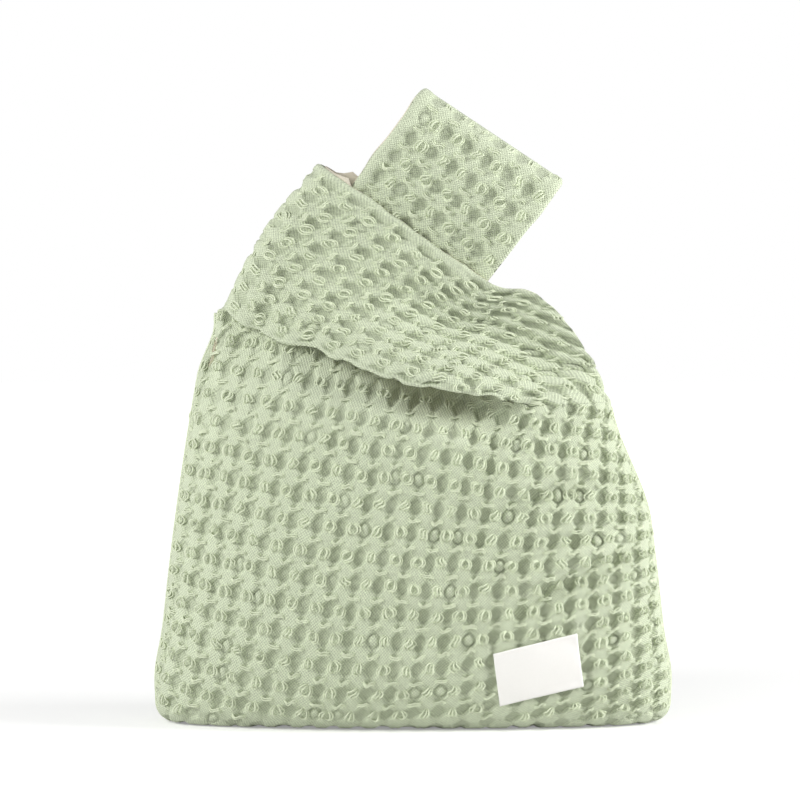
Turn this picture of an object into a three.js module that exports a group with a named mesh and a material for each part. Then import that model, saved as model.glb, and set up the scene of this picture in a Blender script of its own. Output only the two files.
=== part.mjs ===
// A knot style wrist bag in thick waffle cotton with a plain cotton lining.
// The short handle is a loop that rises from the right shoulder and folds over at the left.
// The long handle rises from the left shoulder, runs through that loop and ends in the wrist loop.
// Millimetres, +Z up, +X to the wearer's right of the front view, the front faces -Y.
import * as THREE from "three";
import { mergeVertices } from "three/addons/utils/BufferGeometryUtils.js";

// Cloth
const clothThickness = 3.0;
const liningThickness = 1.0;
const layerGap = 0.3;
const seamGap = 0.3;

// Bag body; its tapers and the weave's leans are given for each level of this height
const levelHeight = 100;
const bagWidth = 245;
const bagTaper = 6.5;
const bagShoulderDraw = 3.6;
const cornerRadius = 9;
const baseDepth = 44;
const bellyDepth = 82;
const bellyHeight = 60;
const closingHeight = 222;
const sideFullness = 0.8;
const baseFlare = 2;
const baseFlareHeight = 24;
const baseFlareSpread = 14;
const leftDraw = 4;
const leftDrawStart = 165;
const leftDrawEnd = 190;
const rightDraw = 10.5;
const rightDrawStart = 96;
const rightDrawEnd = 150;

// Neck and shoulders
const neckHeight = 154;
const neckOffset = 58;
const leftShoulderHeight = 187;
const neckCurl = 1.6;
const neckTuck = 24;
const shoulderTuck = 62;

// Long handle and wrist loop, placed by the point where the handle leaves the short handle
const strapWidth = 76;
const strapAngle = 53.13;
const exitOffset = 4.5;
const exitHeight = 237.8;
const strapInside = 59;
const hingeRise = 2.5;
const swingLimit = 45;
const loopLength = 56;
const loopEndRadius = 8.3;
const loopBow = 3.6;

// Short handle
const foldMargin = 18;
const foldLowReach = 89;
const foldLowDraw = 5;
const foldBow = 5;
const foldBowStart = 0.5;
const foldHighReach = 6.5;
const foldLowRadius = 12;
const exitStep = 1.4;
const exitMargin = 1.6;
const shoulderPoint = new THREE.Vector2(60, 203.5);
const armPoint = new THREE.Vector2(81.5, 178);
const drapePoints = [new THREE.Vector2(-6, 165.6), new THREE.Vector2(-44, 178)];
const bandFlare = 2.5;
const bandLean = 1.4;
const rootBlend = 0.17;
const gatherStart = 0.4;
const gatherEnd = 0.9;

// Waffle weave of the body: its columns lean to the right and its rows sag in the middle.
// The leans, tilts and sags are in cells for each level of climb and of distance from the middle.
const cellWidth = 11.8;
const cellHeight = 12.7;
const pitDepth = 2.3;
const firstColumn = -13;
const lastColumn = 11;
const firstRow = -4;
const lastRow = 15;
const columnPhase = 0.33;
const rowPhase = 0.5;
const columnCrowding = 0.056;
const leanLow = 1.31;
const leanMiddle = 1.09;
const leanHigh = 0.82;
const leanLevels = 1.5;
const rowTilt = 1.04;
const rowSag = 1.64;
const upperTilt = 2.1;
const upperTiltLoss = 0.34;
const upperSag = 1.29;

// Label
const labelWidth = 40.4;
const labelHeight = 26.3;
const labelThickness = 0.6;
const labelTurn = 12.7;
const labelGap = 0.36;
const labelCentre = new THREE.Vector2(60.2, 27.3);

// Facets
const cornersOfFace = 3;
const mergeDistance = 1e-4;
const floorRows = 2;
const neckRows = 3;
const neckInset = 18;
const leastCell = 0.45;
const leastPit = 0.7;
const shoulderCell = 1;
const shoulderClimb = 162;
const sectionSteps = 48;
const sectionSpacing = 2;
const solvePasses = 30;
const shareStep = 0.02;
const climbStep = 3;
const baseSpread = 7;
const baseBend = 8;
const bandColumns = 16;
const foldColumns = 4;
const bandRows = 6;
const loopSteps = 12;
const loopEndSteps = 6;
const labelColumns = 6;
const labelRows = 4;

// Sizes and counts that follow from these
const cellRows = lastRow - firstRow;
const bodyRows = floorRows + 1 + cellRows + neckRows;
const bandLength = bandColumns + foldColumns;
const stackThickness = clothThickness + layerGap + liningThickness;
const halfSeam = seamGap / 2;
const strapExit = new THREE.Vector2(exitOffset, exitHeight);
const strapSkin = layerGap + stackThickness;
const channelSkin = strapSkin + layerGap + stackThickness;
const strapHalf = strapWidth / 2;
const baseHalf = baseDepth / 2;
const bellyHalf = bellyDepth / 2;
const slant = THREE.MathUtils.degToRad(strapAngle);
const alongStrap = new THREE.Vector2(Math.cos(slant), Math.sin(slant));
const acrossStrap = new THREE.Vector2(Math.sin(slant), -Math.cos(slant));

const clothColour = new THREE.Color("rgb(190, 201, 170)");
const liningColour = new THREE.Color("rgb(228, 220, 200)");
const labelColour = new THREE.Color("rgb(245, 243, 239)");

const lerp = THREE.MathUtils.lerp;
const clamp = THREE.MathUtils.clamp;
const smoothstep = THREE.MathUtils.smoothstep;

// A point of the front view given along and across the long handle
function onStrap(along, across) {
  return strapExit.clone()
    .addScaledVector(alongStrap, along)
    .addScaledVector(acrossStrap, across);
}

const strapRootLeft = onStrap(-strapInside - seamGap, -strapHalf);
const strapRootRight = onStrap(-strapInside - seamGap, strapHalf);

// Half the width of the body on one side, at a height
function halfWidth(height, rightSide) {
  const level = Math.min(height, leftShoulderHeight) / levelHeight;
  const leftSideDraw = leftDraw * smoothstep(height, leftDrawStart, leftDrawEnd);
  const rightSideDraw = rightDraw * smoothstep(height, rightDrawStart, rightDrawEnd);
  const draw = rightSide ? rightSideDraw : leftSideDraw;
  const flare = baseFlare * Math.exp(-Math.pow((height - baseFlareHeight) / baseFlareSpread, 2));
  const plain = bagWidth / 2 - bagTaper * level - bagShoulderDraw * level * level + flare - draw;
  if (height >= cornerRadius) {
    return plain;
  }
  const rise = 1 - height / cornerRadius;
  return plain - cornerRadius * (1 - Math.sqrt(1 - rise * rise));
}

// Half the depth of the body at its middle, at a height
function halfDepth(height) {
  if (height < bellyHeight) {
    const rise = 1 - height / bellyHeight;
    return baseHalf + (bellyHalf - baseHalf) * Math.sqrt(1 - rise * rise);
  }
  const rise = Math.min((height - bellyHeight) / (closingHeight - bellyHeight), 1);
  return bellyHalf * Math.sqrt(1 - rise * rise);
}

// Depth of the full body at a place across it and a height, before the neck is drawn in
function fullDepth(across, height) {
  const share = clamp(across / halfWidth(height, across > 0), -1, 1);
  return halfDepth(height) * Math.pow(1 - share * share, sideFullness / 2);
}

// Height of the body's top edge: left shoulder, root of the long handle, neckline, right root
const leftEdge = -halfWidth(leftShoulderHeight, false);
const rightEdge = halfWidth(neckHeight, true);

function topHeight(across) {
  if (across < strapRootLeft.x) {
    const share = (across - leftEdge) / (strapRootLeft.x - leftEdge);
    return lerp(leftShoulderHeight, strapRootLeft.y, share);
  }
  if (across < strapRootRight.x) {
    const share = (across - strapRootLeft.x) / (strapRootRight.x - strapRootLeft.x);
    return lerp(strapRootLeft.y, strapRootRight.y, share);
  }
  if (across < neckOffset) {
    const share = (neckOffset - across) / (neckOffset - strapRootRight.x);
    return lerp(neckHeight, strapRootRight.y, Math.pow(share, neckCurl));
  }
  return neckHeight;
}

// Depth of the body where the neck is drawn in towards the long handle
function topDepth(across) {
  const edge = clamp((Math.abs(leftEdge) - strapSkin + across) / -strapSkin, 0, 1);
  const closing = across < 0 ? Math.sqrt(1 - edge * edge) : 1;
  return strapSkin * closing;
}

function bodyDepth(across, height) {
  const top = topHeight(across);
  const tuck = lerp(neckTuck, shoulderTuck, smoothstep(-across, -strapRootRight.x, -strapRootLeft.x));
  const drawn = smoothstep(height, top - tuck, top);
  const amount = 1 - smoothstep(across, strapRootRight.x, neckOffset);
  const full = fullDepth(across, height);
  return lerp(full, lerp(full, topDepth(across), amount), drawn);
}

// How far up the cloth a height lies, counted from the edge of the floor
function climbOf(height) {
  return height + baseSpread * (1 - Math.exp(-height / baseBend));
}

function heightOf(climb) {
  let height = climb;
  for (let pass = 0; pass < solvePasses; pass += 1) {
    const slope = 1 + baseSpread / baseBend * Math.exp(-height / baseBend);
    height -= (climbOf(height) - climb) / slope;
  }
  return height;
}

// The front's section at a height, from the left seam to the right: places and lengths so far
function sectionAt(height) {
  const places = [];
  const lengths = [0];
  for (let step = 0; step <= sectionSteps; step += 1) {
    const side = -Math.cos(Math.PI * step / sectionSteps);
    const across = side * halfWidth(height, side > 0);
    places.push(new THREE.Vector2(across, fullDepth(across, height)));
    if (step > 0) {
      lengths.push(lengths[step - 1] + places[step].distanceTo(places[step - 1]));
    }
  }
  return { places, lengths };
}

const frontLengths = [];
for (let height = 0; height <= closingHeight + sectionSpacing; height += sectionSpacing) {
  frontLengths.push(sectionAt(height).lengths.at(-1));
}

// Length of the way round the front, from seam to seam, at a climb
function frontLength(climb) {
  const place = clamp(heightOf(Math.max(climb, 0)), 0, closingHeight) / sectionSpacing;
  const below = Math.floor(place);
  return lerp(frontLengths[below], frontLengths[below + 1], place - below);
}

// Place across the body at a share of the way round its front
function acrossAt(share, height) {
  const { places, lengths } = sectionAt(height);
  const wanted = share * lengths[sectionSteps];
  const after = Math.max(lengths.findIndex((length) => length >= wanted), 1);
  const part = (wanted - lengths[after - 1]) / (lengths[after] - lengths[after - 1]);
  return lerp(places[after - 1].x, places[after].x, part);
}

function shareOf(across, height) {
  let low = 0;
  let high = 1;
  for (let pass = 0; pass < solvePasses; pass += 1) {
    const middle = (low + high) / 2;
    if (acrossAt(middle, height) < across) {
      low = middle;
    } else {
      high = middle;
    }
  }
  return low;
}

// Cells that a column has moved to the right at a level, in a straight line above the last one
function leanCells(level) {
  const bent = Math.min(level, leanLevels);
  const slope = leanLow - 2 * leanMiddle * leanLevels + 3 * leanHigh * Math.pow(leanLevels, 2);
  const curve = leanLow * bent - leanMiddle * Math.pow(bent, 2) + leanHigh * Math.pow(bent, 3);
  return curve + slope * (level - bent);
}

// Where a column of cells stands at a climb, as a share of the way round, within the seams
function columnShare(column, climb) {
  const level = Math.max(climb, 0) / levelHeight;
  const cells = column + columnPhase + leanCells(level);
  const distance = cells * cellWidth / (1 + columnCrowding * level);
  return clamp(0.5 + distance / frontLength(climb), 0, 1);
}

// Climb of a row of cells where a column stands
function rowClimb(shareAt, row) {
  let climb = row * cellHeight;
  for (let pass = 0; pass < solvePasses; pass += 1) {
    const level = Math.max(climb, 0) / levelHeight;
    const side = (shareAt(climb) - 0.5) * frontLength(climb) / levelHeight;
    const lifted = row + rowPhase + rowTilt * side + rowSag * side * side
      - (upperTilt - upperTiltLoss * level) * side * level - upperSag * side * side * level;
    climb = lerp(climb, lifted * cellHeight, 0.5);
  }
  return climb;
}

function topClimb(shareAt) {
  let climb = climbOf(neckHeight);
  for (let pass = 0; pass < solvePasses; pass += 1) {
    const across = acrossAt(shareAt(climb), heightOf(climb));
    climb = lerp(climb, climbOf(topHeight(across)), 0.5);
  }
  return climb;
}

// Places of one column's points: the floor, the rows of cells, then plain rows at the neck
function columnPlaces(shareAt) {
  const floorDepth = fullDepth(acrossAt(shareAt(0), 0), 0);
  const top = topClimb(shareAt);
  const last = top - neckInset;
  const climbs = [];
  for (let row = 0; row <= floorRows; row += 1) {
    climbs.push(-floorDepth * (1 - row / floorRows));
  }
  for (let row = firstRow; row <= lastRow; row += 1) {
    const climb = rowClimb(shareAt, row);
    const low = climb < leastCell * cellHeight;
    const high = climb > last - leastCell * cellHeight;
    const held = high ? last : climb;
    climbs.push(low ? 0 : held);
  }
  for (let step = 1; step <= neckRows; step += 1) {
    climbs.push(lerp(last, top, step / neckRows));
  }
  return climbs.map((climb) => ({ share: shareAt(climb), climb }));
}

// The body's points by column and row; a column that comes close to a seam runs out in it
const leftSeam = columnPlaces(() => 0);
const rightSeam = columnPlaces(() => 1);
const bodyPlaces = [leftSeam];
for (let column = firstColumn; column <= lastColumn; column += 1) {
  const places = columnPlaces((climb) => columnShare(column, climb));
  bodyPlaces.push(places.map((place, row) => {
    const near = place.climb > shoulderClimb ? shoulderCell : leastCell;
    const least = near * cellWidth / frontLength(place.climb);
    const nearRight = place.share > 1 - least ? rightSeam[row] : place;
    return place.share < least ? leftSeam[row] : nearRight;
  }));
}
bodyPlaces.push(rightSeam);
const bodyColumns = bodyPlaces.length - 1;

// The corners of the long handle's root have a point of their own in the body's top edge
for (const corner of [strapRootLeft, strapRootRight]) {
  const share = shareOf(corner.x, corner.y);
  const misses = bodyPlaces.map((places) => Math.abs(places.at(-1).share - share));
  const nearest = misses.indexOf(Math.min(...misses));
  bodyPlaces[nearest].splice(-1, 1, { share, climb: climbOf(corner.y) });
}

// A point of the body's outer skin: on the floor where the climb is below zero
function bodyPoint(share, climb) {
  const onSide = share <= 0 || share >= 1;
  const height = heightOf(Math.max(climb, 0));
  const across = acrossAt(share, height);
  if (climb < 0) {
    const depth = Math.max(fullDepth(across, 0) + climb, 0);
    return new THREE.Vector3(across, -halfSeam - depth, 0);
  }
  const depth = onSide ? 0 : bodyDepth(across, height);
  return new THREE.Vector3(across, -halfSeam - depth, height);
}

// The way into the bag from a place on its skin, square to the skin
function bodyInward({ share, climb }) {
  const sideways = bodyPoint(Math.min(share + shareStep, 1), climb);
  sideways.sub(bodyPoint(Math.max(share - shareStep, 0), climb));
  const upwards = bodyPoint(share, climb + climbStep).sub(bodyPoint(share, climb - climbStep));
  const inward = upwards.cross(sideways).normalize();
  return share <= 0 || share >= 1 ? inward.setY(0).normalize() : inward;
}

// A cell of the weave is sunk to a pit where all of it lies between its rows and columns
function pitPlace(column, row) {
  if (row <= floorRows || row > floorRows + cellRows) {
    return undefined;
  }
  const [lowLeft, highLeft] = bodyPlaces[column].slice(row, row + 2);
  const [lowRight, highRight] = bodyPlaces[column + 1].slice(row, row + 2);
  const climb = (lowLeft.climb + highLeft.climb + lowRight.climb + highRight.climb) / 4;
  const share = (lowLeft.share + highLeft.share + lowRight.share + highRight.share) / 4;
  const height = Math.min(highLeft.climb - lowLeft.climb, highRight.climb - lowRight.climb);
  const width = Math.min(lowRight.share - lowLeft.share, highRight.share - highLeft.share);
  const wide = width * frontLength(climb) > leastPit * cellWidth;
  const whole = wide && height > leastPit * cellHeight;
  return whole ? { share, climb } : undefined;
}

// The short handle's edges in the front view: its lower edge and its upper, outer edge
const foldLine = -(strapHalf + foldMargin);
const lowerEdge = new THREE.SplineCurve([
  new THREE.Vector2(neckOffset, neckHeight),
  ...drapePoints,
  onStrap(-foldLowReach, foldLine + foldLowRadius + foldLowDraw),
]);
const exitCorner = onStrap(-exitStep, strapHalf + exitMargin);
const foldCorner = onStrap(-foldHighReach, foldLine + channelSkin);
const upperEdge = new THREE.SplineCurve([
  new THREE.Vector2(rightEdge, neckHeight),
  armPoint,
  shoulderPoint,
  exitCorner,
  exitCorner.clone().lerp(foldCorner, 0.5),
  foldCorner,
]);

// Depth of the short handle's skin: it leaves the body's side seam and lies flat over the strap
function bandDepth(along, up, lower) {
  const rootAcross = lerp(neckOffset, rightEdge, up);
  const rootDepth = up < 1 ? fullDepth(rootAcross, neckHeight) : 0;
  const rise = smoothstep(along, 0, rootBlend / 2) * (stackThickness + 2 * layerGap);
  const swell = bandFlare * Math.pow(Math.sin(Math.PI * along), 2);
  const gathered = smoothstep(along, gatherStart, gatherEnd);
  const under = lerp(fullDepth(lower.x, lower.y), bodyDepth(lower.x, lower.y), gathered);
  const lowDepth = Math.max(under + rise + swell, gathered * foldLowRadius);
  const flatDepth = channelSkin + (lowDepth - channelSkin) * Math.pow(1 - up, bandLean);
  return lerp(rootDepth, flatDepth, smoothstep(along, 0, rootBlend));
}

function bandSkin(column, row) {
  const up = row / bandRows;
  const step = bandLength - column;
  const along = Math.min(step / bandColumns, 1);
  const lower = lowerEdge.getPointAt(along);
  const upper = upperEdge.getPointAt(along);
  const place = lower.clone().lerp(upper, up);
  const bow = foldBow * smoothstep(along, foldBowStart, 1) * Math.sin(Math.PI * up);
  place.addScaledVector(acrossStrap, -bow);
  const depth = bandDepth(along, up, lower);
  const turn = Math.max(step - bandColumns, 0) / foldColumns * Math.PI / 2;
  place.addScaledVector(acrossStrap, -depth * Math.sin(turn));
  const lift = step === 0 ? seamGap : 0;
  return new THREE.Vector3(place.x, -halfSeam - depth * Math.cos(turn), place.y + lift);
}

// The way inward from a point of a surface, square to the lines between its neighbours
function gridInward({ skin, columns, rows, seamColumns }, column, row) {
  const sideways = skin(Math.min(column + 1, columns), row);
  sideways.sub(skin(Math.max(column - 1, 0), row));
  const upwards = skin(column, Math.min(row + 1, rows));
  upwards.sub(skin(column, Math.max(row - 1, 0)));
  const inward = upwards.cross(sideways).normalize();
  return seamColumns.includes(column) ? inward.setY(0).normalize() : inward;
}

// One layer of points at a depth under a surface's skin, measured square to it
function layerUnder(surface, depth) {
  const layer = [];
  for (let row = 0; row <= surface.rows; row += 1) {
    for (let column = 0; column <= surface.columns; column += 1) {
      const point = surface.skin(column, row);
      const moved = point.clone().addScaledVector(surface.inward(column, row), depth);
      layer.push(surface.hold(moved, point, column, row));
    }
  }
  return layer;
}

// A closed sheet of cloth between two depths under a surface's skin, with any pits in its outside
function clothSheet(surface, outer, inner, pitAt = () => undefined) {
  const { columns, rows } = surface;
  const points = [...layerUnder(surface, outer), ...layerUnder(surface, inner)];
  const wide = columns + 1;
  const layerSize = wide * (rows + 1);
  const index = [];
  const face = (a, b, c, d) => index.push(a, b, c, a, c, d);
  for (let row = 0; row < rows; row += 1) {
    for (let column = 0; column < columns; column += 1) {
      const low = row * wide + column;
      const high = low + wide;
      const pit = pitAt(column, row);
      if (pit) {
        const bottom = points.push(pit) - 1;
        index.push(low, low + 1, bottom, low + 1, high + 1, bottom);
        index.push(high + 1, high, bottom, high, low, bottom);
      } else {
        face(low, low + 1, high + 1, high);
      }
      face(layerSize + low, layerSize + high, layerSize + high + 1, layerSize + low + 1);
    }
  }
  for (let column = 0; column < columns; column += 1) {
    const top = rows * wide + column;
    face(column, layerSize + column, layerSize + column + 1, column + 1);
    face(top, top + 1, layerSize + top + 1, layerSize + top);
  }
  for (let row = 0; row < rows; row += 1) {
    const left = row * wide;
    const right = left + columns;
    face(left, left + wide, layerSize + left + wide, layerSize + left);
    face(right, layerSize + right, layerSize + right + wide, right + wide);
  }
  const positions = points.flatMap((point) => point.toArray());
  const sheet = new THREE.BufferGeometry();
  sheet.setAttribute("position", new THREE.Float32BufferAttribute(positions, 3));
  sheet.setIndex(index);
  return withoutFlatFaces(mergeVertices(sheet, mergeDistance));
}

// Faces whose corners fell together at the bottom corners are left out
function withoutFlatFaces(geometry) {
  const corners = geometry.index.array;
  const kept = [];
  for (let start = 0; start < corners.length; start += cornersOfFace) {
    const [a, b, c] = corners.slice(start, start + cornersOfFace);
    if (a !== b && b !== c && c !== a) {
      kept.push(a, b, c);
    }
  }
  geometry.setIndex(kept);
  geometry.computeVertexNormals();
  return geometry;
}

// The same sheet on the other side of the middle plane
function mirrored(geometry) {
  const twin = geometry.clone().scale(1, -1, 1);
  const corners = twin.index.array;
  for (let start = 0; start < corners.length; start += cornersOfFace) {
    [corners[start], corners[start + 2]] = [corners[start + 2], corners[start]];
  }
  twin.computeVertexNormals();
  return twin;
}

// Body sheets meet their twins at the side seams and the bottom seam
function holdBody(moved, point, column, row) {
  const { share } = bodyPlaces[column][row];
  const onSeam = share <= 0 || share >= 1 || row === 0;
  moved.y = onSeam ? -halfSeam : Math.min(moved.y, -halfSeam);
  if (row === bodyRows && point.x > strapRootRight.x) {
    moved.z = point.z;
  }
  return moved;
}

// Short handle sheets meet the body at the root and their twins at the fold
function holdBand(moved, point, column, row) {
  moved.y = column === 0 ? -halfSeam : Math.min(moved.y, -halfSeam);
  if (column === bandLength) {
    moved.z = point.z;
    moved.y = row === bandRows ? -halfSeam : moved.y;
  }
  return moved;
}

// The long handle's flat stretch, cut back at its hinge end to leave room for the swing
function strapProfile(outer, inner) {
  const relief = Math.tan(THREE.MathUtils.degToRad(swingLimit / 2));
  const end = (depth) => hingeRise - halfSeam - depth * relief;
  return [
    new THREE.Vector2(-strapInside, -outer),
    new THREE.Vector2(end(outer), -outer),
    new THREE.Vector2(end(inner), -inner),
    new THREE.Vector2(-strapInside, -inner),
  ];
}

// The wrist loop's leg bows away from its twin and turns round at the end
function loopSkinPoints() {
  const points = [];
  const start = hingeRise;
  const turnStart = loopLength - loopEndRadius;
  for (let step = 0; step <= loopSteps; step += 1) {
    const share = step / loopSteps;
    const swell = (loopEndRadius - strapSkin) * smoothstep(share, 0, 1);
    const bow = loopBow * Math.sin(Math.PI * share);
    points.push(new THREE.Vector2(lerp(start, turnStart, share), -strapSkin - swell - bow));
  }
  for (let step = 1; step <= loopEndSteps; step += 1) {
    const turn = step / loopEndSteps * Math.PI / 2;
    points.push(new THREE.Vector2(
      turnStart + loopEndRadius * Math.sin(turn),
      -loopEndRadius * Math.cos(turn),
    ));
  }
  return points;
}

function loopProfile(outer, inner) {
  const skin = loopSkinPoints();
  const relief = Math.tan(THREE.MathUtils.degToRad(swingLimit / 2));
  const side = (depth) => skin.map((point, step) => {
    const before = skin[Math.max(step - 1, 0)];
    const after = skin[Math.min(step + 1, skin.length - 1)];
    const inward = new THREE.Vector2(before.y - after.y, after.x - before.x).normalize();
    const moved = point.clone().addScaledVector(inward, strapSkin - depth);
    if (step === skin.length - 1) {
      moved.set(point.x - strapSkin + depth, -halfSeam);
    }
    if (step === 0) {
      moved.set(hingeRise + halfSeam + depth * relief, -depth);
    }
    return moved;
  });
  return [...side(outer), ...side(inner).reverse()];
}

// A profile in the strap's own frame, carried across the strap's width
function strapSheet(profile) {
  const sheet = new THREE.ExtrudeGeometry(new THREE.Shape(profile), {
    depth: strapWidth,
    bevelEnabled: false,
  });
  sheet.deleteAttribute("normal");
  sheet.deleteAttribute("uv");
  sheet.translate(0, 0, -strapHalf);
  const merged = mergeVertices(sheet, mergeDistance);
  merged.computeVertexNormals();
  return merged;
}

// The label lies on the front cloth, turned a little
function labelSkin(column, row) {
  const turn = THREE.MathUtils.degToRad(labelTurn);
  const place = new THREE.Vector2(
    (column / labelColumns - 0.5) * labelWidth,
    (row / labelRows - 0.5) * labelHeight,
  ).rotateAround(new THREE.Vector2(), turn).add(labelCentre);
  const stand = halfSeam + labelGap + labelThickness;
  return new THREE.Vector3(place.x, -fullDepth(place.x, place.y) - stand, place.y);
}

const cloth = new THREE.MeshStandardMaterial({ color: clothColour, roughness: 0.95, metalness: 0 });
const lining = new THREE.MeshStandardMaterial({ color: liningColour, roughness: 0.9, metalness: 0 });
const tape = new THREE.MeshStandardMaterial({ color: labelColour, roughness: 0.85, metalness: 0 });

function named(name, geometry, material) {
  const mesh = new THREE.Mesh(geometry, material);
  mesh.name = name;
  return mesh;
}

// A front piece and its mirrored back piece
function pair(group, frontName, backName, geometry, material) {
  group.add(named(frontName, geometry, material));
  group.add(named(backName, mirrored(geometry), material));
}

const bodySurface = {
  skin: (column, row) => bodyPoint(bodyPlaces[column][row].share, bodyPlaces[column][row].climb),
  inward: (column, row) => bodyInward(bodyPlaces[column][row]),
  hold: holdBody,
  columns: bodyColumns,
  rows: bodyRows,
};
const bandSurface = {
  skin: bandSkin,
  inward: (column, row) => gridInward(bandSurface, column, row),
  hold: holdBand,
  columns: bandLength,
  rows: bandRows,
  seamColumns: [0],
};
const labelSurface = {
  skin: labelSkin,
  inward: (column, row) => gridInward(labelSurface, column, row),
  hold: (moved) => moved,
  columns: labelColumns,
  rows: labelRows,
  seamColumns: [],
};

// The bottom of the pit in one cell of the body
function bodyPit(column, row) {
  const place = pitPlace(column, row);
  return place && bodyPoint(place.share, place.climb).addScaledVector(bodyInward(place), pitDepth);
}

const clothLayer = [0, clothThickness];
const liningLayer = [clothThickness + layerGap, stackThickness];

const bag = new THREE.Group();
const bodyCloth = clothSheet(bodySurface, ...clothLayer, bodyPit);
const bodyLining = clothSheet(bodySurface, ...liningLayer);
pair(bag, "front_panel", "back_panel", bodyCloth, cloth);
pair(bag, "front_lining", "back_lining", bodyLining, lining);
const bandCloth = clothSheet(bandSurface, ...clothLayer);
const bandLining = clothSheet(bandSurface, ...liningLayer);
pair(bag, "short_handle_front", "short_handle_back", bandCloth, cloth);
pair(bag, "short_handle_front_lining", "short_handle_back_lining", bandLining, lining);
bag.add(named("label", clothSheet(labelSurface, 0, labelThickness), tape));

// The strap's frame: X along the long handle, Z across it
const strapFrame = new THREE.Group();
strapFrame.position.set(strapExit.x, 0, strapExit.y);
strapFrame.rotation.y = -slant;
const outerSkin = strapSkin;
const clothInner = strapSkin - clothThickness;
const liningOuter = clothInner - layerGap;
const strapCloth = strapSheet(strapProfile(outerSkin, clothInner));
const strapLining = strapSheet(strapProfile(liningOuter, layerGap));
pair(strapFrame, "long_handle_front", "long_handle_back", strapCloth, cloth);
pair(strapFrame, "long_handle_front_lining", "long_handle_back_lining", strapLining, lining);
const loopCloth = strapSheet(loopProfile(outerSkin, clothInner));
const loopLining = strapSheet(loopProfile(liningOuter, layerGap));
pair(strapFrame, "wrist_loop_front", "wrist_loop_back", loopCloth, cloth);
pair(strapFrame, "wrist_loop_front_lining", "wrist_loop_back_lining", loopLining, lining);

const wristBag = new THREE.Group();
wristBag.add(bag, strapFrame);

export default wristBag;
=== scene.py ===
import math

import bmesh
import bpy
import numpy as np
from bpy.props import FloatProperty, FloatVectorProperty, IntProperty, PointerProperty
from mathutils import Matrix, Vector


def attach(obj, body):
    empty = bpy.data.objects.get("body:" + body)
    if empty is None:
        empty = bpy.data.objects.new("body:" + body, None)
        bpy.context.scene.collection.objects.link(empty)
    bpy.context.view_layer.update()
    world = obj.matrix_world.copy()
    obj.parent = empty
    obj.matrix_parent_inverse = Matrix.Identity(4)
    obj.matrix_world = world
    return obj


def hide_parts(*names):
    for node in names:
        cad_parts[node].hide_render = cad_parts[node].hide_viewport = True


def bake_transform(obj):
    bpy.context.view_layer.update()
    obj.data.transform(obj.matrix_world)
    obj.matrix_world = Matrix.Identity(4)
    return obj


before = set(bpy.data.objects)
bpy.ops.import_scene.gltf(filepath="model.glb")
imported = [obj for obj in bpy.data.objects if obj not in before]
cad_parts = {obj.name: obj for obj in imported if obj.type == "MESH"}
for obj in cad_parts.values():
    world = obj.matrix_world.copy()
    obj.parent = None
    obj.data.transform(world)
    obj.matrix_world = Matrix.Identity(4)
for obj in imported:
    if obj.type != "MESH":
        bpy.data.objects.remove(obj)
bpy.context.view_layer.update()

bl_info = {
    "name": "Wrist Bag",
    "version": (1, 0, 0),
    "blender": (4, 5, 0),
    "location": "3D View > Sidebar > Wrist Bag",
    "description": "Sews a knot style wrist bag of giant waffle cotton round its packed model",
    "category": "Object",
}

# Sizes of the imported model, in metres
CLOTH = 0.003
STACK = 0.0043
HALF_SEAM = 0.00015
LEVEL = 0.1
BAG_WIDTH = 0.245
BAG_TAPER = 0.0065
SHOULDER_DRAW = 0.0036
CORNER_RADIUS = 0.009
BASE_HALF = 0.022
BELLY_HALF = 0.041
BELLY_HEIGHT = 0.060
CLOSING_HEIGHT = 0.222
SIDE_FULLNESS = 0.8
BASE_FLARE = 0.002
BASE_FLARE_HEIGHT = 0.024
BASE_FLARE_SPREAD = 0.014
LEFT_DRAW = 0.004
LEFT_DRAW_START = 0.165
LEFT_DRAW_END = 0.190
RIGHT_DRAW = 0.0105
RIGHT_DRAW_START = 0.096
RIGHT_DRAW_END = 0.150
NECK_HEIGHT = 0.154
NECK_OFFSET = 0.058
LEFT_SHOULDER = 0.187
NECK_CURL = 1.6
NECK_TUCK = 0.024
SHOULDER_TUCK = 0.062
STRAP_EXIT = np.array([0.0045, 0.2378])
ALONG = np.array([0.6, 0.8])
ACROSS = np.array([0.8, -0.6])
STRAP_HALF = 0.038
STRAP_ROOT = -0.0593
STRAP_SKIN = 0.0046
CHANNEL_SKIN = 0.0092
HINGE_RISE = 0.0025
LOOP_LENGTH = 0.056
LOOP_END_RADIUS = 0.0083
LOOP_BOW = 0.0036
FOLD_LINE = -0.056
FOLD_LOW_RADIUS = 0.012
FOLD_LOW_DRAW = 0.005
FOLD_BOW = 0.005
ROOT_BLEND = 0.17

# How the cloth lies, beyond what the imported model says
LEFT_SHOULDER_SHOWN = 0.195
STRAP_WIDENING = 0.003
STRAP_WIDENING_RUN = (-0.030, 0.0)
STRAP_END_DROP = 0.0045
FLOOR_GAP = 0.0003
HEM_SHOWN = 0.028
BACK_HEM_RISE = 0.0060
BACK_SHOULDER_DROP = 0.0030
NECK_RISE = 0.0055
NECK_RISE_RUN = 0.012
NECK_FALL_RUN = (0.020, 0.004)
NECK_HOLLOW = 0.008
LINING_GAP = 0.0004
LINING_SHOWN = 0.0008
LINING_SHOWN_RUN = (0.0, 0.0030)
LINING_PUFF = 0.0019
LINING_PUFF_RUN = (0.001, 0.009)
LINING_THREADS = 34
KNEE_DEPTH = 0.0021
SPARE_DEPTH = 0.0006

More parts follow.
